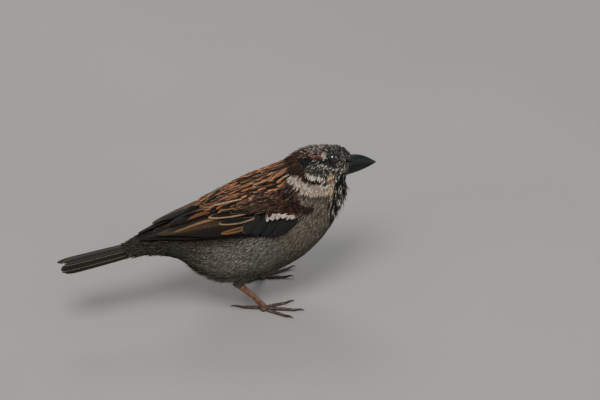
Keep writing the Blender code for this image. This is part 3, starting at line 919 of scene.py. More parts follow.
def coat_tufts(settings):
    """Every small feather of the body, the u of its root, and whether it is kept.

    Markings are read two thirds along each feather, so that they lie where its tip shows.
    """
    rng = np.random.default_rng(settings.seed)
    count = settings.tufts
    u, a = spread_roots(count, coat_spacing, 11)
    plain, _ = plain_body(u, a)
    x, y, z = plain[:, 0], np.abs(plain[:, 1]), plain[:, 2]
    spacing = coat_spacing(u)
    face, head = smooth(0.72, 0.95, u), smooth(0.60, 0.72, u)
    crown = smooth(65.5, 68.5, z) * smooth(30, 38, x)
    wisps = smooth(24, 18, z) * smooth(-22, -14, x) * smooth(12, 4, x)
    rump = smooth(-16, -26, x) * (z > 33)
    depth = coat_depth(u)
    share = np.linspace(0, 1, TUFT_RINGS)[None, :]
    length = spacing * rng.uniform(4.2, 5.8, count) * (1 - 0.25 * face) * (1 + 0.5 * wisps)
    swing = rng.normal(0, 0.16, count) * (1 + 0.8 * crown + 1.2 * wisps)
    wild = rng.uniform(0, 1, count)
    proud = 0.12 + 1.0 * crown * wild**4 + 1.9 * wisps * wild**3 + 0.8 * rump
    lift = -depth[:, None] + (depth + proud)[:, None] * share**0.75
    line, across, normal, passed = traced(u, a, swing, length, TUFT_RINGS, lift)
    over, _ = plain_body(passed[..., 0], passed[..., 1])
    clear = (eye_gap(over) > EYE_OPENING).all(1) | (y < 4) | (x < 40)
    colour, flecks = plumage((over[:, 2] + over[:, 3]) / 2)
    pale = rng.uniform(0, 1, count) < flecks
    snowy = pale * head
    half = spacing * rng.uniform(0.36, 0.56, count) * (1 - 0.25 * wisps) * (1 + 0.35 * snowy)
    lean = rng.normal(0, 0.2, count)[:, None]
    across, normal = swung(across, normal, lean), swung(normal, -across, lean)
    bright = np.exp(rng.normal(0, 1, count) * (0.30 + 0.15 * head))[:, None]
    snow = coat_hue("fleck") * rng.uniform(0.35, 1.9, count)[:, None]
    snow = snow * head[:, None] + colour * 2.3 * (1 - head[:, None])
    edge = np.where(pale[:, None], snow, colour * bright * 1.2)
    tufts = tufted(
        skin_uv(u, a), rng, line=line + normal * (0.12 * snowy)[:, None, None] * share[..., None],
        across=across, normal=normal, length=length, half=half[:, None] * TUFT_OUTLINE,
        crown=half[:, None] * 0.32 * TUFT_OUTLINE + 0.02,
        centre=np.clip(colour * bright, 0, 1), edge=np.clip(edge, 0, 1),
        fringe=np.where(pale, rng.uniform(0.35, 0.7, count), spacing * 0.35),
        side=np.where(pale, TIP_ONLY, 1.0),
    )
    return tufts, u, ~under_wing(plain) & clear


BIB_ROOTS, BIB_SPACING, BIB_RINGS = 9000, 0.85, 6
BIB_OUTLINE = np.array([0.5, 0.9, 1.0, 0.85, 0.5, 0.12])  # half width at each ring


def bib_feathers():
    """Longer, pointed feathers of the bib, black with pale sides, that stand out as a ragged beard."""
    rng = np.random.default_rng(29)
    u, a = spread_roots(BIB_ROOTS, lambda u: BIB_SPACING + 0 * u, 7)
    plain, _ = plain_body(u, a)
    inside = bib_mask(plain) * (plain[:, 2] < 56.5) > rng.uniform(0.35, 0.9, len(u))
    u, a, plain = u[inside], a[inside], plain[inside]
    count, z = len(u), plain[:, 2]
    throat = smooth(58, 52, z) * smooth(38, 45, z)
    wild = rng.uniform(0, 1, count)
    length = rng.uniform(2.8, 4.4, count) * (1 + 0.5 * throat)
    proud = 0.25 + (0.3 + 2.3 * throat) * wild**2.5
    share = np.linspace(0, 1, BIB_RINGS)[None, :]
    lift = -0.5 + (0.5 + proud)[:, None] * share**1.3
    swing = rng.normal(0, 0.34, count)
    line, across, normal, _ = traced(u, a, swing, length, BIB_RINGS, lift)
    half = rng.uniform(0.24, 0.42, count)[:, None] * BIB_OUTLINE
    tone = coat_hue("bib") * np.exp(rng.normal(0, 0.35, count))[:, None]
    pale = rng.uniform(0, 1, count) < 0.34
    snow = coat_hue("fleck") * rng.uniform(0.5, 1.6, count)[:, None]
    return tufted(
        skin_uv(u, a), rng, line=line, across=across, normal=normal, length=length, half=half,
        crown=half * 0.4 + 0.02, centre=tone, edge=np.where(pale[:, None], snow, tone * 1.3),
        fringe=np.where(pale, rng.uniform(0.10, 0.26, count), 0.06),
    )


def chosen(feathers, mask):
    """Those feathers where the mask is true."""
    return {key: value[mask] for key, value in feathers.items()}


# ---- wings and back

# Wing stations, wrist to tip: x, lower edge (y, z), upper edge (y, z), bow outwards, thickness.
WING_STATIONS = np.array(
    (
        (36.6, 17.2, 44.4, 15.6, 50.0, 0.9, 1.6),
        (30.0, 19.4, 41.2, 14.8, 54.0, 1.7, 2.4),
        (20.0, 20.9, 40.0, 11.7, 56.4, 2.2, 2.8),
        (10.0, 20.6, 41.0, 8.0, 55.2, 1.9, 2.8),
        (0.0, 19.0, 42.2, 4.8, 52.8, 1.2, 2.6),
        (-10.0, 16.2, 42.6, 2.8, 49.4, 0.6, 2.4),
        (-20.0, 12.4, 42.0, 1.6, 46.0, 0.3, 2.0),
        (-29.0, 7.6, 41.2, 2.0, 43.0, 0.2, 1.7),
        (-38.0, 3.2, 40.0, 1.2, 40.6, 0.1, 1.3),
    )
)
# The stations joined by a smooth curve, from tip to wrist, and the body's top line likewise.
WING_TABLE = through(WING_STATIONS, np.linspace(0, 1, len(WING_STATIONS) * 8))[::-1]
TOP_LINE = through(BODY_LADDER, np.linspace(0, 1, 200))[:, :2]
BACK_REACH = 0.5  # how far past 1 the dorsal surface runs to reach the middle of the back
BACK_RISE = 0.5
WING_STEPS = (0.5, 0.02)  # steps of x and t over which the wing's slopes are taken


def wing_at(x, *columns):
    """Columns of the wing's table, read at x."""
    return [np.interp(x, WING_TABLE[:, 0], WING_TABLE[:, column]) for column in columns]


def back_top(x):
    """Height of the middle of the back: the body's top line, raised by the mantle."""
    return np.interp(x, TOP_LINE[:, 0], TOP_LINE[:, 1]) + BACK_RISE


def dorsal(x, t, side):
    """Outer surface of a folded wing, from its lower edge (t = 0) to its upper (1), and on
    over the mantle to the middle of the back (1.5).

    The wing is its chord plus the bow, 4 t (1 - t) out along the chord's normal; the mantle is
    a parabola from the wing's upper edge to just over the body's top line.
    """
    low_y, low_z, up_y, up_z, bow = wing_at(x, 1, 2, 3, 4, 5)
    chord_y, chord_z = up_y - low_y, up_z - low_z
    length = np.hypot(chord_y, chord_z)
    within, share = np.clip(t, 0, 1), np.minimum(t, 1)
    rise = bow * 4 * within * (1 - within)
    y = low_y + chord_y * share + rise * chord_z / length
    z = low_z + chord_z * share - rise * chord_y / length
    over = np.clip((t - 1) / BACK_REACH, 0, 1.3)
    y = y - up_y * over
    z = z + (back_top(x) - up_z) * over * (2 - over)
    return np.stack([x, side * y, z], -1)


def feathers_at(
    surface, steps, facing, root, tip, half, lift=(-1.0, 0.0), stack=0.0, bulge=0.0, tilt=0.1,
    rings=12, crown=0.22, centre=(0, 0, 0), edge=(0, 0, 0), fringe=0.4, side=1.0, split=NO_SPLIT,
    web=(0.45, 0.7), blunt=0.6, base=0.35, bright=0.07, seed=1, hand=1.0, lop=0.0, taper=0.0,
):
    """Feathers from root to tip on a surface, each a little higher than the one before it.

    A split web keeps its own colour up to the first share in web and loses it by the second;
    the fringe narrows by taper from the feather's middle to its tip.
    """
    count = len(root)
    rng = np.random.default_rng(seed)
    share = stations(rings)[None, :]
    height = lift[0] + (lift[1] - lift[0]) * share**0.8 + stack * np.arange(count)[:, None]
    full = lambda value, *more: np.broadcast_to(np.asarray(value, float), (count, *more))
    turn, wide = full(tilt)[:, None] * np.ones_like(share), full(half)[:, None]
    line, across, normal, length = laid(
        surface, steps, facing, root, tip, full(bulge), height, turn, rings
    )
    outline = vane_outline(share, blunt, base)
    shade = np.exp(rng.normal(0, bright, count))[:, None]
    return dict(
        line=line, across=across, normal=normal, half=wide * outline, length=length,
        crown=crown * (0.25 + 0.75 * outline) * np.ones((count, 1)),
        centre=full(centre, 3) * shade, edge=full(edge, 3) * shade,
        fringe=full(fringe)[:, None] * (1 - taper * smooth(0.45, 1.0, share)),
        split=full(split)[:, None] + smooth(*web, share) * 2 * wide,
        side=full(side), lop=full(lop), hand=full(hand), phase=rng.uniform(0, PHASES, count),
    )


def on_wing(wing, root, tip, half, facing=0.8, **look):
    """Feathers on the outside of the left (1) or right (-1) wing, which faces up by facing."""
    return feathers_at(
        lambda x, t: dorsal(x, t, wing), WING_STEPS, (0.0, wing, facing), root, tip, half,
        hand=wing, **look
    )


def joined(*sets):
    """Several sets of feathers as one."""
    return {key: np.concatenate([one[key] for one in sets]) for key in sets[0]}


BAR_FEATHERS = 17


def wing_sets(side):
    """The rows of one folded wing, by name, from the lowest layer to the highest.

    Roots, tips and half widths of a row are routes that are read evenly along.
    """
    mixed = lambda *shares: np.array([hue(name) * share for name, share in shares])

    def row(count, *routes, tilt=0.12, **look):
        at = np.linspace(0, 1, count)
        root, tip, half = (through(np.array(route).reshape(len(route), -1), at) for route in routes)
        return on_wing(side, root, tip, half[:, 0], tilt=side * tilt, seed=40 + side, **look)

    thin = hue("quill") * 1.9
    web = hue("brown") * np.array([[0.28], [0.36], [0.44]])
    rng = np.random.default_rng(33)
    along = np.linspace(0, 1, BAR_FEATHERS)
    fall = 0.43 + 0.05 * np.sin(along * 3) + rng.normal(0, 0.025, BAR_FEATHERS)
    bar_tips = np.stack([28.8 - 11.8 * along + rng.normal(0, 0.4, BAR_FEATHERS), fall], -1)
    bar_width = np.interp(along, (0, 0.2, 0.45, 0.7, 0.85, 1), (1.6, 3.0, 4.5, 3.4, 1.5, 0.7))
    # The outer greater coverts are dusky to their edges: dark centres plus painted shade under the wing
    # bar.
    outer = row(
        5, ((30, 0.42), (14, 0.56)), ((22.0, 0.12), (14.5, 0.08), (6.2, 0.16)), (2.4, 2.5),
        lift=(-1.0, -0.25), stack=0.05, bulge=-0.03, rings=16, centre=hue("dusky"),
        edge=mixed(*[("dusky", 1.6)] * 4, ("fawn", 0.8)), fringe=(0.15, 0.15, 0.15, 0.15, 0.26),
        blunt=0.62, lop=-0.3,
    )
    inner = row(
        3, ((11, 0.34), (12, 0.50), (11, 0.66)), ((-3.6, 0.14), (-3.4, 0.42), (-6.8, 0.66)),
        (1.3, 1.6, 1.9), lift=(-0.7, 0.15), stack=0.12, bulge=-0.02, tilt=0.14, rings=16,
        centre=mixed(("black", 2), ("black", 1), ("black", 1)),
        edge=mixed(("ochre", 0.85), ("buff", 0.7), ("buff", 0.85)),
        fringe=(1.0, 0.75, 0.85), lop=(0.0, 2.5, 1.5), blunt=0.6, bright=0.1,
    )
    return {
        "primaries": row(
            9, ((24, 0.22), (20, 0.36)),
            ((-37.8, 0.40), (-37.4, 0.58), (-35.8, 0.66), (-32.0, 0.56), (-26.5, 0.44)),
            (1.7, 1.9), lift=(-2.0, -1.35), stack=0.08, bulge=-0.05, rings=22,
            centre=hue("quill") * 0.8, edge=thin, fringe=0.2, blunt=0.82, lop=2.0,
        ),
        "secondaries": row(
            6, ((18, 0.20), (10, 0.44)),
            ((-14.0, 0.15), (-20.0, 0.24), (-25.5, 0.34), (-29.5, 0.44)), (1.9, 2.2),
            lift=(-1.5, -0.5), stack=0.12, bulge=0.02, tilt=0.14, rings=18,
            centre=np.vstack([mixed(("quill", 1.0), ("quill", 1.0), ("quill", 1.1)), web]),
            edge=np.vstack([[thin * 1.5] * 3, web * 1.35]), fringe=(0.16, 0.16, 0.2, 0.3, 0.3, 0.3),
            blunt=0.8, lop=2.0, taper=0.3,
        ),
        "tertials": row(
            3, ((8, 0.62), (8, 0.90), (8, 1.20)), ((-29.5, 0.44), (-24.0, 0.90), (-17.5, 1.28)),
            (2.3, 2.7, 2.6), lift=(-1.1, 0.05), stack=0.22, bulge=(0.13, 0.05, 0.03), tilt=0.16,
            rings=24, centre=mixed(("quill", 1.3), ("black", 1), ("black", 1)),
            edge=mixed(("ochre", 1.2), ("rufous", 1), ("ochre", 0.8)),
            fringe=(1.5, 0.5, 0.5), split=(NO_SPLIT, 0.3, 0.4), web=(0.6, 0.95), blunt=0.72,
            lop=3.0, taper=0.6, bright=0.15,
        ),
        "greater_coverts": joined(outer, inner),
        # The alula takes the same dusky colour, with its painted shade.
        "alula": row(
            3, ((33.5, 0.30), (31, 0.40)), ((18.0, 0.05), (20.0, 0.13)), (1.4, 1.6),
            lift=(-1.2, -0.05), stack=0.12, bulge=-0.03, rings=12, centre=hue("dusky"),
            edge=mixed(("dusky", 1.4), ("dusky", 1.4), ("fawn", 0.8)),
            fringe=0.15, blunt=0.7, lop=2.0,
        ),
        "median_coverts": row(
            BAR_FEATHERS, ((36.0, 0.80), (28, 0.74), (19.5, 0.70)), bar_tips, (0.95, 1.15),
            lift=(-0.7, 0.30), stack=0.02, bulge=rng.normal(-0.02, 0.02, BAR_FEATHERS), tilt=0.10,
            rings=12, centre=hue("chestnut") * 0.6, edge=hue("bar"),
            fringe=bar_width * rng.uniform(0.8, 1.15, BAR_FEATHERS), side=8, blunt=0.3,
            bright=0.14, crown=0.12,
        ),
        "scapulars": row(
            5, ((15, 0.78), (16, 0.95), (16, 1.12), (14, 1.22), (11, 1.36)),
            ((2.5, 0.66), (-1.5, 0.79), (-3.0, 0.98), (-4.5, 1.16), (-6.5, 1.36)),
            (1.6, 1.8, 1.7, 1.8, 1.7), lift=(-0.4, 0.50), stack=0.05, bulge=-0.02,
            rings=12, centre=hue("black"),
            edge=mixed(("rufous", 1), ("ochre", 1.1), ("buff", 1), ("ochre", 1), ("orange", 1)),
            fringe=(0.4, 0.8, 0.9, 0.5, 0.5), split=(NO_SPLIT, 0.6, NO_SPLIT, 0.3, 0.2),
            web=(0.5, 1.0), blunt=0.4, bright=0.15, lop=2.5,
        ),
    }


LESSER_ROWS, LESSER_COLUMNS = 13, 25


def lesser_coverts(side):
    """Narrow, hair-like chestnut feathers of the wing's shoulder, greyer behind, in staggered rows."""
    rng = np.random.default_rng(60 + side)
    row, column = np.meshgrid(np.arange(LESSER_ROWS), np.arange(LESSER_COLUMNS), indexing="ij")
    row, column = row.ravel(), column.ravel()
    count = len(row)
    t = 0.70 + row * 0.038 + rng.normal(0, 0.016, count)
    x = 40.0 - 0.25 * np.abs(row - 5) - (column + 0.5 * (row % 2)) * (1.05 - 0.02 * row)
    x = x + rng.normal(0, 0.45, count)
    root = np.stack([x, t], -1)
    fall = np.stack([-4.2 - rng.uniform(0, 2.0, count), -0.11 + rng.normal(0, 0.03, count)], -1)
    tip = root + fall + (x < 22)[:, None] * (-1.0, 0.05)
    dark = rng.uniform(0, 1, (count, 1))
    hind = smooth(30, 19, x)[:, None] * rng.uniform(0.2, 1, (count, 1))
    blotch = 1 - 0.75 * smooth(0.2, 0.9, wobble(np.stack([x, 20 * t, 0 * x], -1), 2.0, 3))[:, None]
    base = hue("chestnut") * (1 - hind) + hue("fawn") * 0.5 * hind
    tips = hue("rufous") * (1 - hind) + hue("fawn") * hind
    centre = base * (0.16 + 1.3 * dark**2.5) * blotch
    edge = tips * (0.25 + 1.2 * rng.uniform(0, 1, (count, 1)) ** 3) * blotch
    order = np.argsort(tip[:, 0])
    return on_wing(
        side, root[order], tip[order], rng.uniform(0.4, 0.7, count), lift=(-0.6, 0.45),
        tilt=-0.08 * side, rings=8, crown=0.18, centre=centre[order], edge=edge[order],
        fringe=0.2, blunt=0.15, base=0.5, bright=0.3, seed=61 + side,
        bulge=rng.normal(0, 0.018, count),
    )


# Lanes of the mantle: distance from the middle of the back, and light or dark.
MANTLE_LANES = (
    (0.6, "dull"), (2.0, "orange"), (3.3, "black"), (4.6, "orange"), (5.9, "orange"),
    (7.1, "black"), (8.4, "orange"), (9.6, "black"), (10.8, "orange"), (12.0, "dull"),
    (13.1, "black"), (14.2, "dull"),
)
MANTLE_STEPS = 24


def back_place(x, reach):
    """Where on dorsal a point lies that is reach millimetres from the middle of the back."""
    low_y, low_z, up_y, up_z = wing_at(x, 1, 2, 3, 4)
    over = np.hypot(up_y, back_top(x) - up_z)
    chord = np.hypot(up_y - low_y, up_z - low_z)
    t = np.where(reach < over, 1 + BACK_REACH * (1 - reach / over), 1 - (reach - over) / chord)
    return np.stack([x, t], -1)


def mantle(side):
    """Streaked feathers of the back, in loose lanes from the nape to the tertials."""
    rng = np.random.default_rng(80 + side)
    lane, step = np.meshgrid(np.arange(len(MANTLE_LANES)), np.arange(MANTLE_STEPS), indexing="ij")
    lane, step = lane.ravel(), step.ravel()
    count = len(lane)
    middle = np.array([reach for reach, _ in MANTLE_LANES])[lane]
    kind = np.array([kind for _, kind in MANTLE_LANES])[lane]
    stray = rng.uniform(0, 1, count)
    kind = np.where(stray < 0.12, "black", np.where(stray < 0.18, "dull", kind))
    x = 32.0 - 1.6 * step + 0.8 * (lane % 2) + rng.normal(0, 0.6, count)
    tip_x = x - rng.uniform(5.2, 8.6, count)
    drift = lambda at: middle * (0.78 + 0.22 * smooth(0, 26, at))
    sway = rng.normal(0, 0.26, (2, count))
    root = back_place(x, np.maximum(drift(x) + sway[0], 0.3))
    tip = back_place(tip_x, np.maximum(drift(tip_x) + sway[1], 0.3))
    kept = (tip_x > -9) & (root[:, 1] > 0.8) & (tip[:, 1] > 0.72)
    vary = lambda low, high: rng.uniform(low, high, (count, 1))
    light = (hue("orange") + (hue("buff") - hue("orange")) * vary(0, 0.6)) * vary(0.55, 1.1)
    dull = (hue("rufous") + (hue("fawn") - hue("rufous")) * vary(0, 0.6)) * vary(0.2, 0.6)
    black = hue("black") * vary(0.8, 1.5)
    bright, faint = (kind == "orange")[:, None], (kind == "dull")[:, None]
    centre = np.where(bright, light * 0.7, np.where(faint, dull, black))
    rim = hue("buff") * vary(0.3, 1.2)
    edge = np.where(bright, light * vary(1.0, 2.0), np.where(faint, rim, hue("rufous") * vary(0.1, 0.8)))
    order = np.argsort(tip_x)
    order = order[kept[order]]
    return on_wing(
        side, root[order], tip[order], rng.uniform(0.5, 0.85, count)[order], lift=(-0.8, 0.55),
        tilt=-0.05 * side, rings=9, crown=0.2, centre=centre[order], edge=edge[order],
        fringe=np.where(kind == "orange", 0.28, 0.16)[order], blunt=0.2, base=0.5, bright=0.2,
        facing=1 / 0.3, seed=81 + side, bulge=rng.normal(0, 0.012, count)[order],
    )


def wing_core(side):
    """The wing under its feathers: its outer sheet sunk 1.5 mm, back round its inner face."""
    rows, columns = 60, 12
    table = through(WING_STATIONS, np.linspace(0.02, 0.98, rows))
    x, thick = table[:, :1], table[:, 6:]
    share = np.linspace(0.04, 0.97, columns)[None, :]
    flank = lambda x, t: dorsal(x, t, side)
    outer, normal = faced(flank, x + 0 * share, share + 0 * x, WING_STEPS, (0.0, side, 0.8))
    sunk = np.minimum(1.5, thick * 0.6)[..., None]
    inner = outer - normal * (thick * (0.45 + 0.5 * np.sin(math.pi * share)))[..., None]
    return np.concatenate([outer - normal * sunk, inner[:, ::-1]], axis=1)


# ---- tail

TAIL_ROOT, TAIL_TIP = -38.3, -74.5
TAIL_ROOT_Z, TAIL_TIP_Z = 34.8, 30.8
TAIL_HALF = 6.1


def tail_top(x, y):
    """Upper surface of the closed tail: a straight fall to its tip, shallowly arched across."""
    share = (x - TAIL_ROOT) / (TAIL_TIP - TAIL_ROOT)
    z = TAIL_ROOT_Z + (TAIL_TIP_Z - TAIL_ROOT_Z) * share - 0.8 * (y / TAIL_HALF) ** 2
    return np.stack([x, y, z], -1)


TAIL_STEPS = (0.5, 0.1)  # steps of x and y over which its slopes are taken
TAIL_FEATHERS = 6  # in each half of the tail


def tail_sets():
    """The tail's feathers, outermost lowest, as a closed and nearly level sheaf."""
    rank = np.arange(TAIL_FEATHERS)[::-1]
    length = np.array([0, 1.3, 2.0, 2.2, 1.7, 0.6])[rank]
    pale = np.array([1.0, 0.15, 0.15, 0.9, 0.15, 0.9])[rank]
    halves = []
    for side in (-1, 1):
        root = np.stack([np.full(TAIL_FEATHERS, -31.0), side * (0.5 + 0.75 * rank)], -1)
        tip = np.stack([-72.0 - length, side * (0.95 + 0.92 * rank)], -1)
        halves.append(
            feathers_at(
                tail_top, TAIL_STEPS, (0, 0, 1), root, tip, 1.75, lift=(-0.7, -0.15),
                stack=0.16, tilt=0.14 * side, rings=26, crown=0.2, centre=hue("tail"),
                edge=hue("tail_edge") * pale[:, None], fringe=0.3, blunt=0.86, base=0.7, seed=90 + side,
                bulge=side * 0.25, hand=-side, lop=0.4,
            )
        )
    return joined(*halves)


def tail_coverts(upper):
    """Rows of coverts that lap over the tail's root, above or below it."""
    rng = np.random.default_rng(95 + upper)
    facing = (0, 0, 1 if upper else -1)
    drop = 0.0 if upper else 1.5
    surface = lambda x, y: tail_top(x, y) - np.array([0.0, 0.0, drop])
    places = []
    for row, (x, reach, spread) in enumerate(((-37, 9, 4.4), (-35, 9, 4.8), (-33, 9, 5.0))):
        y = np.linspace(-spread, spread, 12) + (row % 2) * 0.4
        places.append(np.stack([np.full(12, float(x)), y, np.full(12, float(reach))], -1))
    x, y, reach = np.concatenate(places).T
    count = len(x)
    reach = reach * (1 - 0.06 * np.abs(y)) * rng.uniform(0.8, 1.1, count)
    root, tip = np.stack([x, y], -1), np.stack([x - reach, y * 0.82], -1)
    # The under coverts take the undertail's grey, which is partly painted shade.
    colour = coat_hue("rump" if upper else "under")
    return feathers_at(
        surface, TAIL_STEPS, facing, root, tip, rng.uniform(0.9, 1.3, count),
        lift=(-0.4, 0.45) if upper else (-0.4, 0.5), tilt=0.0, rings=10, crown=0.2,
        centre=colour * 0.85, edge=colour * 1.3, fringe=0.35, blunt=0.25, base=0.6,
        bright=0.22, seed=97 + upper, bulge=rng.normal(0, 0.15, count),
    )


# ---- head


def ring_mesh(name, rings, uvs=(), attributes=(), wrap=False):
    """One surface from rings of points: a tube closed by fans, or a torus where it wraps."""
    rows, columns, _ = rings.shape
    uvs, attributes = dict(uvs), dict(attributes)
    if not wrap:
        one = lambda layers: {title: values[None] for title, values in layers.items()}
        return smooth_mesh(name, **tubes(rings[None], one(uvs), one(attributes)))
    flat = lambda values: values.reshape(rows * columns, *values.shape[2:])
    quads = grid_faces(rows + 1, columns) % (rows * columns)
    return smooth_mesh(
        name, flat(rings), quads, np.zeros((0, 3), int),
        {title: flat(values) for title, values in uvs.items()},
        {title: flat(values) for title, values in attributes.items()},
    )


def grid_uv(rows, columns):
    """Places on a map for a grid of points: its columns across, its rows up."""
    v, u = np.meshgrid(np.linspace(0.05, 0.95, rows), np.linspace(0.02, 0.98, columns), indexing="ij")
    return np.stack([u, v], -1)


def tube(path, radii, around, flatten=1.0):
    """Rings about a path: the middle line plus radius times a circle, squashed by flatten."""
    run = unit(np.gradient(path, axis=0))
    level = unit(np.cross(run, (0.0, 0.0, 1.0)))
    over = np.cross(level, run)
    angle = turns(around)
    wide = np.cos(angle)[None, :, None] * level[:, None]
    tall = np.sin(angle)[None, :, None] * over[:, None]
    radii = np.asarray(radii, float)
    radii = radii[:, None, None] if radii.ndim == 1 else radii[..., None]
    return path[:, None] + radii * (wide + tall * flatten)


def eye_axes(side):
    """Centre of an eye and its three axes after the head's roll: outward, forward, up."""
    x, y, z = EYE_CENTRE
    centre = rolled(np.array([x, side * y, z]))
    out = unit(np.array([0.20, side * 0.96, 0.17]))
    out = unit(rolled(out + (0.0, *HEAD_AXIS)) - (0.0, *HEAD_AXIS))
    ahead = unit(np.array([1.0, 0, 0]) - out * out[0])
    return centre, out, ahead, np.cross(out, ahead) * side


def eyeball(side):
    """A sphere about the eye's axis, its cornea swelling by a cosine hump round the front."""
    centre, out, ahead, over = eye_axes(side)
    rows, columns = 60, 64
    tilt, angle = np.linspace(0.02, math.pi - 0.02, rows)[:, None], turns(columns)[None, :]
    radius = EYE_RADIUS * (1 + 0.05 * np.exp(-((tilt / 0.55) ** 2)))
    points = centre + radius[..., None] * swung(out, swung(ahead, over, angle), tilt)
    reach = np.broadcast_to(tilt, (rows, columns))
    spoke = np.stack([np.cos(angle), np.sin(angle)], -1)
    uv = 0.5 + (0.5 * reach / 3.3)[..., None] * spoke
    return points, {BAKE_MAP: uv}, {"Reach": reach}


# Section of the lids round the eye's axis: distance from it, height above the eye's centre.
LID_PROFILE = np.array(
    ((0.63, 0.77), (0.66, 0.81), (0.70, 0.83), (0.75, 0.79), (0.79, 0.69), (0.84, 0.50),
     (0.875, 0.28), (0.80, 0.25), (0.73, 0.44), (0.67, 0.625), (0.625, 0.71))
)


def eyelids(side):
    """Lids as a beaded ring: their section carried round the eye's axis, wider than tall."""
    centre, out, ahead, over = eye_axes(side)
    rows = 144
    section = through(np.vstack([LID_PROFILE, LID_PROFILE[:1]]), np.linspace(0, 1, 25))[:-1]
    angle = turns(rows)[:, None]
    bead = 0.012 * np.cos(angle * 36) * np.exp(-(((section[:, 0] - 0.70) / 0.06) ** 2))
    width = section[None, :, 0] * (1 + 0.04 * np.cos(2 * angle))
    corner = 0.09 * np.exp(-((np.minimum(angle % TURN, TURN - angle % TURN)) / 0.22) ** 2)
    corner = corner + 0.075 * np.exp(-((angle - math.pi) / 0.25) ** 2)
    width = width + corner * smooth(0.875, 0.69, section[None, :, 0])
    height = section[None, :, 1] + bead - 0.15 * corner
    ring = swung(ahead, over, angle)
    points = centre + EYE_RADIUS * (ring * width[..., None] + out * height[..., None])
    uv = grid_uv(rows, points.shape[1])
    return points, {BAKE_MAP: uv, VANE_MAP: uv}


BILL_TIP = (75.6, 58.6)
CULMEN_ROOT, GAPE, GONYS_ROOT = (60.8, 63.6), (57.6, 60.1), (57.6, 54.9)
BILL_HALF_WIDTH = 3.8
BILL_GAP = 0.16
LOWER_BILL_SHORT = 0.6
NOSTRIL = (0.17, 0.62)  # share along the bill, share up its side


def bill_half(bend):
    """Half a bill, from inside the face to the tip; bend 1 is the upper half.

    Its rings run over the outside from edge to edge, then back across the flat inside.  The
    ridge is a narrow crest that arches over a straight line, and the sides bow out; both fall
    to the tip by a power of share.  The lower half ends a little short of the upper.
    """
    rows, columns = 96, 49
    start = -0.14
    share = np.linspace(start, 1, rows)[:, None]
    inside = np.clip(share, 0, 1)
    root = np.array(CULMEN_ROOT if bend > 0 else GONYS_ROOT)
    gape = np.array(GAPE)
    tip = np.array(BILL_TIP) - (0 if bend > 0 else LOWER_BILL_SHORT, 0)
    reach = np.where(share > 0, inside**0.9, share)
    swell = 1.45 * np.sin(math.pi * inside) if bend > 0 else 0.6 * np.sin(math.pi * inside**1.4)
    ridge_x = root[0] + (tip[0] - root[0]) * reach
    ridge_z = root[1] + (tip[1] - root[1]) * inside + bend * swell
    edge_x = gape[0] + (tip[0] - gape[0]) * reach
    edge_z = gape[1] + (tip[1] - gape[1]) * inside - 0.35 * np.sin(math.pi * inside**0.55)
    half = BILL_HALF_WIDTH * (1 - inside) ** 0.74 * (1 + 0.06 * np.sin(math.pi * inside)) + 0.10
    half = half if bend > 0 else half * (0.97 - 0.05 * inside)
    angle = np.linspace(0, math.pi, columns)[None, :]
    lift = np.sin(angle) ** 0.85
    crest = 0.10 * np.exp(-(((angle - math.pi / 2) / 0.16) ** 2)) * (1 - inside**3)
    side = np.cos(angle)
    side = np.sign(side) * np.abs(side) ** (1.05 if bend > 0 else 0.9)
    rise = np.maximum(bend * (ridge_z - edge_z), 0.10)
    up = rise * (lift + crest)
    if bend > 0:
        along = np.abs(inside - NOSTRIL[0]) / 0.055
        around = np.abs(lift - NOSTRIL[1]) / 0.17
        pit = 0.55 * np.exp(-(along**2) - around**2)
        fold = 0.16 * np.exp(-(along**2) - ((lift - NOSTRIL[1] - 0.24) / 0.10) ** 2)
        half = half * (1 - (pit - fold) / BILL_HALF_WIDTH * 1.4)
    lap = 0.12 * (1 - inside) * np.exp(-((lift / 0.10) ** 2)) * bend
    x = edge_x + (ridge_x - edge_x) * lift
    outside = np.stack([x, (half + lap) * side, edge_z + bend * (BILL_GAP / 2 + up)], -1)
    flat = np.linspace(-0.82, 0.82, 9)[None, :]
    hollow = 0.25 * (1 - flat**2) * (1 - inside)
    floor = np.stack(
        [edge_x + 0 * flat, half[:, :1] * 0.96 * flat, edge_z + bend * (BILL_GAP / 2 + hollow * 0.6)], -1
    )
    rings = np.concatenate([outside, floor], axis=1)
    uv = grid_uv(rows, rings.shape[1])
    shares = np.broadcast_to(share, rings.shape[:2])
    height = np.concatenate([np.broadcast_to(lift, outside.shape[:2]), np.zeros(floor.shape[:2])], 1)
    return rolled(rings), {BAKE_MAP: uv}, {"Share": shares, "Height": height}


EYE_RINGS = ((0.76, 64), (0.86, 70), (0.98, 74), (1.12, 78))  # radius over the eye's, and feathers


FACE_LOOK = ("mask", 0.45, (0.10, 0.17))  # colour, how far its shades vary, half widths
# The thighs' feathers take the belly's grey, which is partly painted shade.
THIGH_LOOK = ("belly", 0.15, (0.26, 0.42))


def small_tufts(line, normal, length, root_uv, rng, look, flecks=0.0):
    """Feathers of the face and thighs, alike but for their lines; a share of them tipped pale."""
    count = len(line)
    name, vary, widths = look
    tone = coat_hue(name) * np.exp(rng.normal(0, vary, count))[:, None]
    half = rng.uniform(*widths, count)[:, None] * TUFT_OUTLINE
    pale = rng.uniform(0, 1, count) < flecks
    snow = coat_hue("fleck") * rng.uniform(0.3, 1.0, count)[:, None]
    return tufted(
        root_uv, rng, line=line, across=unit(np.cross(np.gradient(line, axis=1), normal)),
        normal=normal, half=half, crown=half * 0.5, length=length, centre=tone,
        edge=np.where(pale[:, None], snow, tone * 1.4), fringe=np.where(pale, 0.4, 0.1),
        side=np.where(pale, TIP_ONLY, 1.0),
    )


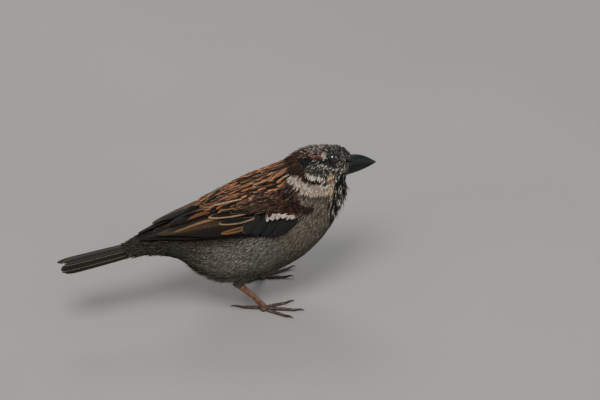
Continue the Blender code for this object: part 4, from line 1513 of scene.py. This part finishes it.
def eye_tufts(side):
    """Tiny feathers round an eye: they start on rings about its axis and sweep backwards."""
    rng = np.random.default_rng(17 + side)
    centre, out, ahead, over = eye_axes(side)
    share = np.linspace(0, 1, TUFT_RINGS)[None, :, None]
    sets = []
    for ring, (ratio, count) in enumerate(EYE_RINGS):
        angle = (np.arange(count) + 0.5 * (ring % 2)) / count * TURN + rng.normal(0, 0.03, count)
        spoke = swung(ahead, over, angle)
        turn = np.sign(np.sin(angle))[:, None]
        past = over * turn * 0.9 + spoke * 0.6 - ahead * 0.15
        run = np.where((np.cos(angle) > 0.45)[:, None], past, spoke * 0.55 - ahead * 0.85)
        run = unit(run - out * (run @ out)[:, None])
        start = centre + EYE_RADIUS * (spoke * ratio + out * (0.71 - (ratio - 0.75) * 0.75))
        length = rng.uniform(0.7, 1.2, count)
        line = start[:, None] + run[:, None] * length[:, None, None] * share
        line = line + out * share * (0.12 - 0.22 * (ratio - 0.75) * EYE_RADIUS)
        normal = unit(out + 0.3 * spoke)[:, None] * np.ones_like(share)
        uv = skin_uv(0.86 + 0.012 * ratio * np.cos(angle), side * (1.0 + 0.1 * np.sin(angle)))
        sets.append(small_tufts(line, normal, length, uv, rng, FACE_LOOK, 0.22))
    return joined(*sets)


BILL_TUFTS = 420


def bill_root_tufts():
    """Tiny feathers that point forwards over the bill's root, from the last of the body's rings."""
    rng = np.random.default_rng(23)
    u, a = rng.uniform(0.955, 0.995, BILL_TUFTS), np.arange(BILL_TUFTS) * GOLDEN_TURN % TURN
    point, along, _, normal = body_frame(u, a)
    length = rng.uniform(0.9, 1.9, BILL_TUFTS) * (1 - 0.35 * np.abs(np.sin(a)))
    aim = unit(unit(along) + np.array([0.7, 0, 0]) + rng.normal(0, 0.16, (BILL_TUFTS, 3)))
    share = np.linspace(0, 1, TUFT_RINGS)[None, :, None]
    line = point[:, None] + aim[:, None] * length[:, None, None] * share
    line = line + normal[:, None] * (-0.35 + 0.5 * share**0.7)
    face = normal[:, None] * np.ones_like(share)
    return small_tufts(line, face, length, skin_uv(u, a), rng, FACE_LOOK, 0.25)


# ---- legs

LEGS = {
    "right": {"side": -1, "heel_x": 5.6, "foot": (17.6, -12.4), "bearing": -24.0},
    "left": {"side": 1, "heel_x": 12.6, "foot": (24.6, 14.2), "bearing": 12.0},
}
HEEL_HALF_SPREAD, HEEL_HEIGHT, FOOT_HEIGHT = 11.4, 13.0, 1.5
THIGH_RADII, THIGH_LENGTH, THIGH_LEAN = (1.6, 4.4, 5.0, 4.2, 3.0, 2.0), 13.0, (0.45, 0.06, 0.86)
SHANK_RADII = (1.6, 1.28, 1.18, 1.35)
PAD_RADIUS = 2.2
# Profile of a foot's pad: distance from its axis over its radius, and height.
PAD_PROFILE = np.array(
    ((0.35, 0.0), (0.95, 0.02), (1.06, 0.4), (1.02, 0.9), (0.8, 1.6), (0.42, 2.05), (0.1, 2.15))
)
TOE_START = 3.0
# Toe: angle outwards from the middle toe, angle of its root, length, root radius, joints, claw.
TOES = {
    "inner": (-27.0, -42.0, 8.2, 0.82, 2, 4.2),
    "middle": (0.0, 0.0, 11.2, 0.88, 3, 4.3),
    "outer": (24.0, 38.0, 9.0, 0.82, 4, 4.0),
    "hind": (180.0, 180.0, 7.0, 0.92, 1, 5.8),
}
CLAW_BEND = 1.25


def heel_and_foot(leg):
    """The two ends of a shank."""
    heel = np.array([leg["heel_x"], leg["side"] * HEEL_HALF_SPREAD, HEEL_HEIGHT])
    return heel, np.array([*leg["foot"], FLOOR + FOOT_HEIGHT])


def heading(degrees):
    """Level direction that lies so many degrees from forwards towards the bird's left."""
    angle = math.radians(degrees)
    return np.array([math.cos(angle), math.sin(angle), 0.0])


def thigh_lean(leg):
    """Direction of a thigh, up from its heel."""
    return unit(np.array(THIGH_LEAN) * (1, -leg["side"], 1))


def thigh_point(leg, share, angle, sunk=0.0):
    """Surface of a feathered thigh: circles of its radii about a line up from the heel."""
    heel, _ = heel_and_foot(leg)
    lean = thigh_lean(leg)
    level = unit(np.cross(lean, (0.0, 1.0, 0.0)))
    over = np.cross(lean, level)
    radius = through(np.array(THIGH_RADII)[:, None], share)[..., 0] - sunk
    ring = swung(level, over, angle)
    return heel + lean * (THIGH_LENGTH * (1 - share))[..., None] + ring * radius[..., None]


THIGH_TUFTS = 760


def thigh_tufts(leg):
    """Feathers down the thigh to the heel, as lines on thigh_point."""
    rng = np.random.default_rng(30 + leg["side"])
    share = np.sort(rng.uniform(0.16, 0.97, THIGH_TUFTS))
    angle = (np.arange(THIGH_TUFTS) * GOLDEN_TURN) % TURN
    length = rng.uniform(2.6, 3.8, THIGH_TUFTS) * (1 - 0.35 * share)
    s = np.linspace(0, 1, TUFT_RINGS)[None, :]
    reach = np.clip(share[:, None] + s * (length / THIGH_LENGTH)[:, None], 0, 1.08)
    around = angle[:, None] + rng.normal(0, 0.1, THIGH_TUFTS)[:, None] * s
    sunk = THIGH_COAT - 1.0 * s**0.8 + 0 * reach
    line = thigh_point(leg, np.minimum(reach, 1.0), around, sunk)
    normal = unit(thigh_point(leg, np.minimum(reach, 1.0), around, sunk - 1.0) - line)
    line = line - thigh_lean(leg) * np.maximum(reach - 1.0, 0)[..., None] * THIGH_LENGTH
    return small_tufts(line, normal, length, thigh_uv(leg["side"], share, angle), rng, THIGH_LOOK)


def shank_rings(leg):
    """Shank from under the thigh's feathers to the foot, with scutes down its front.

    Its radius follows SHANK_RADII plus saw-toothed steps, one a scute, on the side that faces
    forwards, and a low keel behind.
    """
    heel, foot = heel_and_foot(leg)
    rows, columns = 150, 28
    share = np.linspace(0, 1, rows)
    path = heel + (foot - heel) * share[:, None]
    path[:, 2] += 0.5 * np.sin(math.pi * share)
    radii = through(np.array(SHANK_RADII)[:, None], share)[:, 0]
    angle = turns(columns)[None, :]
    front = smooth(-0.1, 0.5, np.sin(angle))
    scutes = 9
    tooth = (share * scutes) % 1
    step = 0.10 * (1 - tooth) ** 0.6 * smooth(0, 0.08, tooth)
    wrinkle = 0.03 * np.sin(share * scutes * 3 * TURN)[:, None] * (1 - front)
    keel = 0.12 * np.exp(-((angle - 1.5 * math.pi) / 0.5) ** 2)
    full = radii[:, None] * (1 + keel) + step[:, None] * front + wrinkle
    rings = tube(path, full, columns)
    groove = np.broadcast_to(smooth(0.14, 0.0, tooth)[:, None] * front, full.shape)
    return rings, {BAKE_MAP: grid_uv(rows, columns)}, {"Groove": groove}


def foot_pad(leg):
    """Low round pad where the toes meet: a turned profile, a little lobed."""
    x, y = leg["foot"]
    spread, height = through(PAD_PROFILE, np.linspace(0, 1, 22)).T
    angle = turns(48)[None, :]
    lobes = 1 + 0.05 * np.cos(4 * (angle - math.radians(leg["bearing"])))
    radius = spread[:, None] * PAD_RADIUS * lobes
    height = FLOOR + np.maximum(height, 0.0)[:, None] + 0 * angle
    rings = np.stack([x + radius * np.cos(angle), y + radius * np.sin(angle), height], -1)
    return rings, {BAKE_MAP: grid_uv(*radius.shape)}, {"Groove": np.zeros(radius.shape)}


def toe_paths(leg, toe):
    """Start of a toe on its foot's pad, its direction, and its length, radius, joints and claw."""
    turn, root_turn, *sizes = TOES[toe]
    aim = heading(leg["bearing"] + leg["side"] * turn)
    start = heading(leg["bearing"] + leg["side"] * root_turn) * TOE_START
    return np.array([*leg["foot"], 0.0]) + start, aim, *sizes


def toe_rings(leg, toe):
    """A toe: a tapering tube with a pad under each joint and a scute per step on its back."""
    root, aim, length, radius, joints, _ = toe_paths(leg, toe)
    rows, columns = 110, 24
    share = np.linspace(-0.06, 1, rows)
    clipped = np.clip(share, 0, 1)
    path = root + aim * length * share[:, None]
    size = radius * (1 - 0.22 * clipped)
    path[:, 2] = FLOOR + 0.62 * size + 0.25 * np.sin(math.pi * clipped) * 0.6
    angle = turns(columns)[None, :]
    top = smooth(0.1, 0.7, np.sin(angle))
    under = smooth(0.1, 0.8, -np.sin(angle))
    scutes = 5 * joints + 3
    tooth = (clipped * scutes) % 1
    step = 0.055 * (1 - tooth) ** 0.7 * smooth(0, 0.1, tooth)
    pads = 0.14 * np.abs(np.sin(clipped * (joints + 0.5) * math.pi))
    pinch = -0.06 * np.exp(-(((clipped * joints + 0.5) % 1 - 0.5) / 0.12) ** 2)
    full = size[:, None] + step[:, None] * top + pads[:, None] * under + pinch[:, None]
    rings = tube(path, full, columns)
    rings[..., 2] = np.maximum(rings[..., 2], FLOOR)
    groove = np.broadcast_to(smooth(0.2, 0.0, tooth)[:, None] * top, full.shape)
    return rings, {BAKE_MAP: grid_uv(rows, columns)}, {"Groove": groove}


def claw_rings(leg, toe):
    """A claw: a tapering tube that rises from the toe's end and curves down to its tip."""
    root, aim, length, _, _, reach = toe_paths(leg, toe)
    rows, columns = 40, 16
    bend = np.linspace(-0.10, 1, rows)
    clipped = np.clip(bend, 0, 1)
    end = root + aim * length
    path = end + aim * (reach * np.sin(bend * CLAW_BEND) / math.sin(CLAW_BEND))[:, None]
    path[:, 2] = FLOOR + 0.62 + 0.9 * np.sin(clipped * math.pi * 0.62) - 0.98 * clipped**2
    size = 0.56 * (1 - 0.88 * clipped**1.1)
    rings = tube(path, size, columns, flatten=1.1)
    rings[..., 2] = np.maximum(rings[..., 2], FLOOR)
    share = np.broadcast_to(clipped[:, None], (rows, columns))
    return rings, {BAKE_MAP: grid_uv(rows, columns)}, {"Share": share}


# ---- finishes of the bare parts


class BareColours(bpy.types.PropertyGroup):
    """Colours of the bill, eyes, legs and claws."""

    horn: tint("Horn", "Blue black, of the bill", 21, 28, 28)
    horn_low: tint("Lower horn", "Greyer, of the lower half", 21, 26, 26)
    horn_tip: tint("Horn tip", "Paler, brownish tip", 50, 45, 45)
    iris: tint("Iris", "Dark brown iris", 36, 21, 13)
    lid: tint("Lids", "Dark grey bare skin", 30, 30, 29)
    leg: tint("Legs", "Pinkish brown scales", 168, 116, 88)
    leg_dark: tint("Grooves", "Darker seams between the scales", 84, 56, 42)
    claw: tint("Claws", "Dark horn", 60, 50, 40)


def rgba(name):
    """A colour of the bare parts, as a shader socket takes it."""
    return (*getattr(bpy.context.scene.bare_colours, name), 1.0)


def bill_material(name, body_colour):
    """Horn: grain drawn out along the bill, a paler tip, a painted highlight along the cutting edges and
    a matt, chalky root.
    """
    made, n = blank(name)
    drawn = n.add("Mapping", {"Vector": n.object_place(), "Scale": (160.0, 900.0, 900.0)}).outputs[0]
    grain = n.noise(drawn, 1.0, 4.0, 0.6)
    blotch = n.use("Mottle", {"Scale": 420.0})[1]
    share = n.attribute("Share")
    stray = n.math("MULTIPLY", n.math("SUBTRACT", blotch, 0.5), 0.3)
    tipward = n.step(n.math("ADD", share, stray), 0.68, 1.0)
    colour = n.mix(tipward, rgba(body_colour), rgba("horn_tip"))
    # Painted highlight: the horn is paler along the cutting edges, where the gape line catches the
    # light.
    edge = n.step(n.attribute("Height"), 0.0, 0.16, 1.0, 0.0)
    colour = n.mix(n.math("MULTIPLY", edge, 0.45), colour, rgba("horn_tip"))
    colour = n.shaded(colour, n.step(grain, 0.3, 0.72, 0.62, 1.25))
    dust = n.use("Mottle", {"Scale": 1500.0, "Low": 0.0, "High": 0.55})[0]
    dust = n.math("MULTIPLY", dust, n.step(share, 0.45, 0.0))
    colour = n.mix(dust, colour, rgba("horn_tip"))
    rough, normal = n.step(blotch, 0.3, 0.7, 0.38, 0.56), n.bump(grain, 0.25, 0.0002)
    n.finish(colour, rough, normal, {"Specular IOR Level": 0.3})
    return made


def eye_material():
    """Dark brown iris round a black pupil, under a clear glossy cornea."""
    made, n = blank("eye")
    reach = n.attribute("Reach")
    rays = n.use("Mottle", {"Scale": 2500.0, "Low": 0.10, "High": 0.14})
    iris = n.mix(n.step(rays[1], 0.35, 0.7), rgba("iris"), (0.006, 0.004, 0.003, 1))
    colour = n.mix(n.step(reach, 0.33, 0.40, 1.0, 0.0), iris, (0.0015, 0.0013, 0.0013, 1))
    colour = n.mix(n.step(reach, 0.62, 0.78), colour, (0.004, 0.003, 0.003, 1))
    n.finish(colour, rays[0], others={"Coat Weight": 1.0, "Coat Roughness": 0.03})
    return made


def lid_material():
    """Bare grainy skin of the lids."""
    made, n = blank("lid")
    grains = n.use("Mottle", {"Scale": 5200.0, "Low": 0.5, "High": 1.3})
    rough, normal = n.step(grains[1], 0.3, 0.7, 0.75, 0.5), n.bump(grains[1], 0.5, 0.0001)
    n.finish(n.shaded(rgba("lid"), grains[0]), rough, normal)
    return made


def leg_material():
    """Scaly skin: pinkish brown plates, darker seams, fine cells behind, and dirt with painted shade
    near the floor.
    """
    made, n = blank("leg_scales")
    place_of = n.object_place()
    cells = n.add("TexVoronoi", {"Vector": place_of, "Scale": 2600.0}, feature="DISTANCE_TO_EDGE")
    net = n.step(cells.outputs["Distance"], 0.0, 0.10, 0.6, 0.0)
    seam = n.math("MAXIMUM", n.attribute("Groove"), net)
    mottle = n.use("Mottle", {"Scale": 700.0, "Low": 0.0, "High": 1.0})
    colour = n.mix(mottle[0], rgba("leg"), rgba("leg_dark"))
    colour = n.mix(n.math("MULTIPLY", seam, 0.75), colour, rgba("leg_dark"))
    # Dirt and painted shade: towards the floor the scales darken in mottled patches, for the dirt on the
    # toes and the body's shade over them.
    height = n.add("SeparateXYZ", {"Vector": place_of}).outputs["Z"]
    low = n.step(height, 0.004, 0.0008)
    dirt_and_shade = n.math("MULTIPLY", low, n.step(mottle[1], 0.3, 0.6, 0.65, 0.95))
    colour = n.mix(dirt_and_shade, colour, (0.045, 0.036, 0.028, 1))
    rough = n.step(mottle[1], 0.3, 0.7, 0.42, 0.62)
    normal = n.bump(n.math("SUBTRACT", 1.0, seam), 0.4, 0.00012)
    n.finish(colour, rough, normal)
    return made


def claw_material():
    """Dark claw horn, paler where it is thin at the tip, with streaks along it."""
    made, n = blank("claw_horn")
    grain = n.use("Mottle", {"Scale": 1800.0, "Low": 0.55, "High": 1.2})
    colour = n.mix(n.step(n.attribute("Share"), 0.55, 1.0), rgba("claw"), rgba("horn_tip"))
    rough, normal = n.step(grain[1], 0.3, 0.7, 0.3, 0.45), n.bump(grain[1], 0.15, 0.0001)
    n.finish(n.shaded(colour, grain[0]), rough, normal)
    return made


# ---- settings and operators


class CoatSizes(bpy.types.PropertyGroup):
    """Sizes of the coat."""

    tufts: IntProperty(name="Tufts", description="Small feathers of the body", default=31000, min=100)
    seed: IntProperty(name="Seed", description="Start of the random draws", default=5)


class StageSettings(bpy.types.PropertyGroup):
    """Floor, lights and camera."""

    azimuth: FloatProperty(
        name="Azimuth", description="Bearing round the bird", subtype="ANGLE",
        default=math.radians(-18),
    )
    elevation: FloatProperty(
        name="Elevation", description="Height over the horizon", subtype="ANGLE",
        default=math.radians(30),
    )
    distance: FloatProperty(
        name="Distance", description="Camera to the point it looks at", unit="LENGTH", default=1.1364,
    )
    aim: FloatVectorProperty(
        name="Aim", description="Point that the camera looks at", unit="LENGTH", size=3,
        default=(0.03765, -0.0012, 0.0479),
    )
    lens: FloatProperty(name="Lens", description="Focal length in millimetres", default=150.0)
    floor: FloatVectorProperty(
        name="Floor", description="Colour of the floor", subtype="COLOR", size=3,
        default=(0.42, 0.40, 0.38),
    )
    light: FloatProperty(name="Light", description="Strength of the studio lights", default=1.0)


FLOOR_REACH = 3.0


def make_floor(colour):
    """A level square about the origin, its colour a little uneven."""
    mesh = bpy.data.meshes.new("floor")
    corners = [(x * FLOOR_REACH, y * FLOOR_REACH, 0) for x, y in ((-1, -1), (1, -1), (1, 1), (-1, 1))]
    mesh.from_pydata(corners, [], [(0, 1, 2, 3)])
    floor = bpy.data.objects.new("floor", mesh)
    bpy.context.scene.collection.objects.link(floor)
    made, n = blank("floor")
    tone = n.step(n.noise(n.object_place(), 6.0, 2.0), 0.3, 0.7, 0.97, 1.03)
    n.finish(n.shaded((*colour, 1.0), tone), 0.85, others={"Specular IOR Level": 0.2})
    mesh.materials.append(made)


# Lamps: name, place in metres, diameter, power in watts, colour.
LAMPS = (
    ("key", (-0.35, -0.55, 1.05), 0.55, 9.0, (1.0, 0.97, 0.93)),
    ("fill", (0.9, -0.5, 0.5), 0.8, 2.6, (0.92, 0.96, 1.0)),
    ("back", (0.1, 0.9, 0.8), 0.6, 4.0, (1.0, 0.98, 0.95)),
)


def make_lights(strength):
    """A pale sky, and the lamps, each turned to the bird's middle."""
    world = bpy.data.worlds.new("studio")
    world.use_nodes = True
    sky = world.node_tree.nodes["Background"]
    sky.inputs["Color"].default_value = (0.86, 0.92, 1.0, 1)
    sky.inputs["Strength"].default_value = 0.35 * strength
    bpy.context.scene.world = world
    for name, where, size, power, colour in LAMPS:
        lamp = bpy.data.lights.new(name, "AREA")
        lamp.shape = "DISK"
        lamp.size = size
        lamp.energy = power * strength
        lamp.color = colour
        holder = bpy.data.objects.new(name, lamp)
        holder.location = where
        aim = Vector((0, 0, 0.03)) - Vector(where)
        holder.rotation_euler = aim.to_track_quat("-Z", "Y").to_euler()
        bpy.context.scene.collection.objects.link(holder)


def make_camera(stage):
    """The camera, at its distance from the aim along its azimuth and elevation."""
    azimuth, elevation = stage.azimuth, stage.elevation
    level = math.cos(elevation)
    back = Vector((math.sin(azimuth) * level, -math.cos(azimuth) * level, math.sin(elevation)))
    lens = bpy.data.cameras.new("camera")
    lens.lens = stage.lens
    lens.sensor_width = 36.0
    lens.clip_start = 0.01
    camera = bpy.data.objects.new("camera", lens)
    camera.location = Vector(stage.aim) + back * stage.distance
    camera.rotation_euler = back.to_track_quat("Z", "Y").to_euler()
    bpy.context.scene.collection.objects.link(camera)
    bpy.context.scene.camera = camera


class Undoable:
    """What the operators share: each can be taken back, or done again with other settings."""

    bl_options = {"REGISTER", "UNDO"}


class SPARROW_OT_stage(Undoable, bpy.types.Operator):
    """Make the pale floor, the soft lights and the camera."""

    bl_idname = "sparrow.stage"
    bl_label = "Stage"

    def execute(self, context):
        stage = context.scene.sparrow_stage
        make_floor(stage.floor)
        make_lights(stage.light)
        make_camera(stage)
        return {"FINISHED"}


class SPARROW_OT_skin(Undoable, bpy.types.Operator):
    """Make the skin of the head, neck, body and thighs in one piece."""

    bl_idname = "sparrow.skin"
    bl_label = "Skin"

    def execute(self, context):
        mesh = smooth_mesh("skin", **skin_shells())
        nodes = ("head", "neck", "trunk", "rump", "thigh_left", "thigh_right")
        place(mesh, down_material(), "breast_feathers", *nodes)
        return {"FINISHED"}


# Pieces of the coat from the tail on: name, u where it ends, material slot.
COAT_ENDS = (
    ("rump", 0.18, "rump_feathers"),
    ("vent", 0.25, "breast_feathers"),
    ("belly", 0.33, "breast_feathers"),
    ("flank", 0.42, "breast_feathers"),
    ("breast", 0.52, "breast_feathers"),
    ("shoulder", 0.61, "breast_feathers"),
    ("neck", 0.68, "breast_feathers"),
    ("nape", 0.74, "crown"),
    ("hind_crown", 0.80, "crown"),
    ("crown", 0.87, "crown"),
    ("face", 1.01, "crown"),
)


class SPARROW_OT_coat(Undoable, bpy.types.Operator):
    """Make the small feathers of the body, head, face and thighs."""

    bl_idname = "sparrow.coat"
    bl_label = "Coat"

    def execute(self, context):
        tufts, u, kept = coat_tufts(context.scene.coat_sizes)
        pieces = {}
        start = 0.0
        for name, end, slot in COAT_ENDS:
            pieces["coat_" + name] = (chosen(tufts, kept & (u >= start) & (u < end)), slot)
            start = end
        pieces["bib_feathers"] = (bib_feathers(), "crown")
        pieces["eye_ring_feathers"] = (joined(eye_tufts(-1), eye_tufts(1)), "crown")
        pieces["bill_root_feathers"] = (bill_root_tufts(), "crown")
        for name, leg in LEGS.items():
            pieces["thigh_feathers_" + name] = (thigh_tufts(leg), "breast_feathers")
        for name, (feathers, slot) in pieces.items():
            place(vanes(name, feathers, NARROW_VANE), feather_material("soft_coat"), slot)
        return {"FINISHED"}


class SPARROW_OT_wings(Undoable, bpy.types.Operator):
    """Make both folded wings, row by row, and the mantle between them."""

    bl_idname = "sparrow.wings"
    bl_label = "Wings"

    def execute(self, context):
        for title, side in SIDES.items():
            rings = wing_core(side)
            uvs = {BAKE_MAP: grid_uv(*rings.shape[:2])}
            dark = {"Centre": np.broadcast_to(hue("quill"), rings.shape)}
            core = ring_mesh("wing_core_" + title, rings, uvs, dark)
            place(core, down_material(), "wing_feathers", "wing_" + title)
            sets = wing_sets(side)
            sets |= {"lesser_coverts": lesser_coverts(side), "mantle": mantle(side)}
            for kind, feathers in sets.items():
                mesh = vanes(f"{kind}_{title}", mapped(feathers), BROAD_VANE)
                place(mesh, feather_material("firm_vane"), "wing_feathers")
        return {"FINISHED"}


class SPARROW_OT_tail(Undoable, bpy.types.Operator):
    """Make the tail and the coverts over and under its root."""

    bl_idname = "sparrow.tail"
    bl_label = "Tail"

    def execute(self, context):
        tail = vanes("tail_feathers", mapped(tail_sets()), BROAD_VANE)
        place(tail, feather_material("firm_vane"), "tail_feathers", "tail")
        for name, upper in (("tail_coverts_upper", True), ("tail_coverts_under", False)):
            coverts = vanes(name, mapped(tail_coverts(upper)), BROAD_VANE)
            place(coverts, feather_material("firm_vane"), "tail_feathers")
        return {"FINISHED"}


class SPARROW_OT_bill(Undoable, bpy.types.Operator):
    """Make both halves of the bill."""

    bl_idname = "sparrow.bill"
    bl_label = "Bill"

    def execute(self, context):
        for node, bend, colour in (("bill_upper", 1, "horn"), ("bill_lower", -1, "horn_low")):
            mesh = ring_mesh(node + "_horn", *bill_half(bend))
            place(mesh, bill_material(mesh.name, colour), "bill_horn", node)
        return {"FINISHED"}


class SPARROW_OT_eyes(Undoable, bpy.types.Operator):
    """Make the eyes and their lids."""

    bl_idname = "sparrow.eyes"
    bl_label = "Eyes"

    def execute(self, context):
        cornea, bare = eye_material(), lid_material()
        for title, side in SIDES.items():
            ball = ring_mesh("eyeball_" + title, *eyeball(side))
            place(ball, cornea, "eye", "eye_" + title)
            place(ring_mesh("eyelids_" + title, *eyelids(side), wrap=True), bare, "crown")
        return {"FINISHED"}


class SPARROW_OT_legs(Undoable, bpy.types.Operator):
    """Make the shanks, foot pads, toes and claws."""

    bl_idname = "sparrow.legs"
    bl_label = "Legs"

    def execute(self, context):
        scales, horn = leg_material(), claw_material()
        for title, leg in LEGS.items():
            pieces = [("tarsus_" + title, shank_rings(leg), scales, "leg_scales", "shank_" + title)]
            pieces.append(("foot_pad_" + title, foot_pad(leg), scales, "leg_scales"))
            for toe in TOES:
                end = f"{toe}_{title}"
                pieces.append(("digit_" + end, toe_rings(leg, toe), scales, "leg_scales", "toe_" + end))
                pieces.append(("nail_" + end, claw_rings(leg, toe), horn, "claw_horn", "claw_" + end))
            for name, surface, *rest in pieces:
                place(ring_mesh(name, *surface), *rest)
        return {"FINISHED"}


OPERATORS = (
    SPARROW_OT_stage, SPARROW_OT_skin, SPARROW_OT_coat, SPARROW_OT_wings, SPARROW_OT_tail,
    SPARROW_OT_bill, SPARROW_OT_eyes, SPARROW_OT_legs,
)


class SPARROW_PT_panel(bpy.types.Panel):
    """Lists the sparrow's pieces and settings in the 3D view's sidebar."""

    bl_idname = "SPARROW_PT_panel"
    bl_label = "House sparrow"
    bl_space_type = "VIEW_3D"
    bl_region_type = "UI"
    bl_category = "Sparrow"

    def draw(self, context):
        for made in OPERATORS:
            self.layout.operator(made.bl_idname)
        for title in SETTINGS:
            box = self.layout.box()
            for key in getattr(context.scene, title).bl_rna.properties.keys():
                if key not in ("rna_type", "name"):
                    box.prop(getattr(context.scene, title), key)


SETTINGS = {
    "coat_sizes": CoatSizes,
    "plumage_colours": PlumageColours,
    "wing_colours": WingColours,
    "bare_colours": BareColours,
    "sparrow_stage": StageSettings,
}


def register():
    for made in (*SETTINGS.values(), *OPERATORS, SPARROW_PT_panel):
        bpy.utils.register_class(made)
    for title, made in SETTINGS.items():
        setattr(bpy.types.Scene, title, PointerProperty(type=made))


def unregister():
    for title in SETTINGS:
        delattr(bpy.types.Scene, title)
    for made in reversed((*SETTINGS.values(), *OPERATORS, SPARROW_PT_panel)):
        bpy.utils.unregister_class(made)


def main():
    register()
    for made in OPERATORS:
        family, name = made.bl_idname.split(".")
        getattr(getattr(bpy.ops, family), name)()


if __name__ == "__main__":
    main()
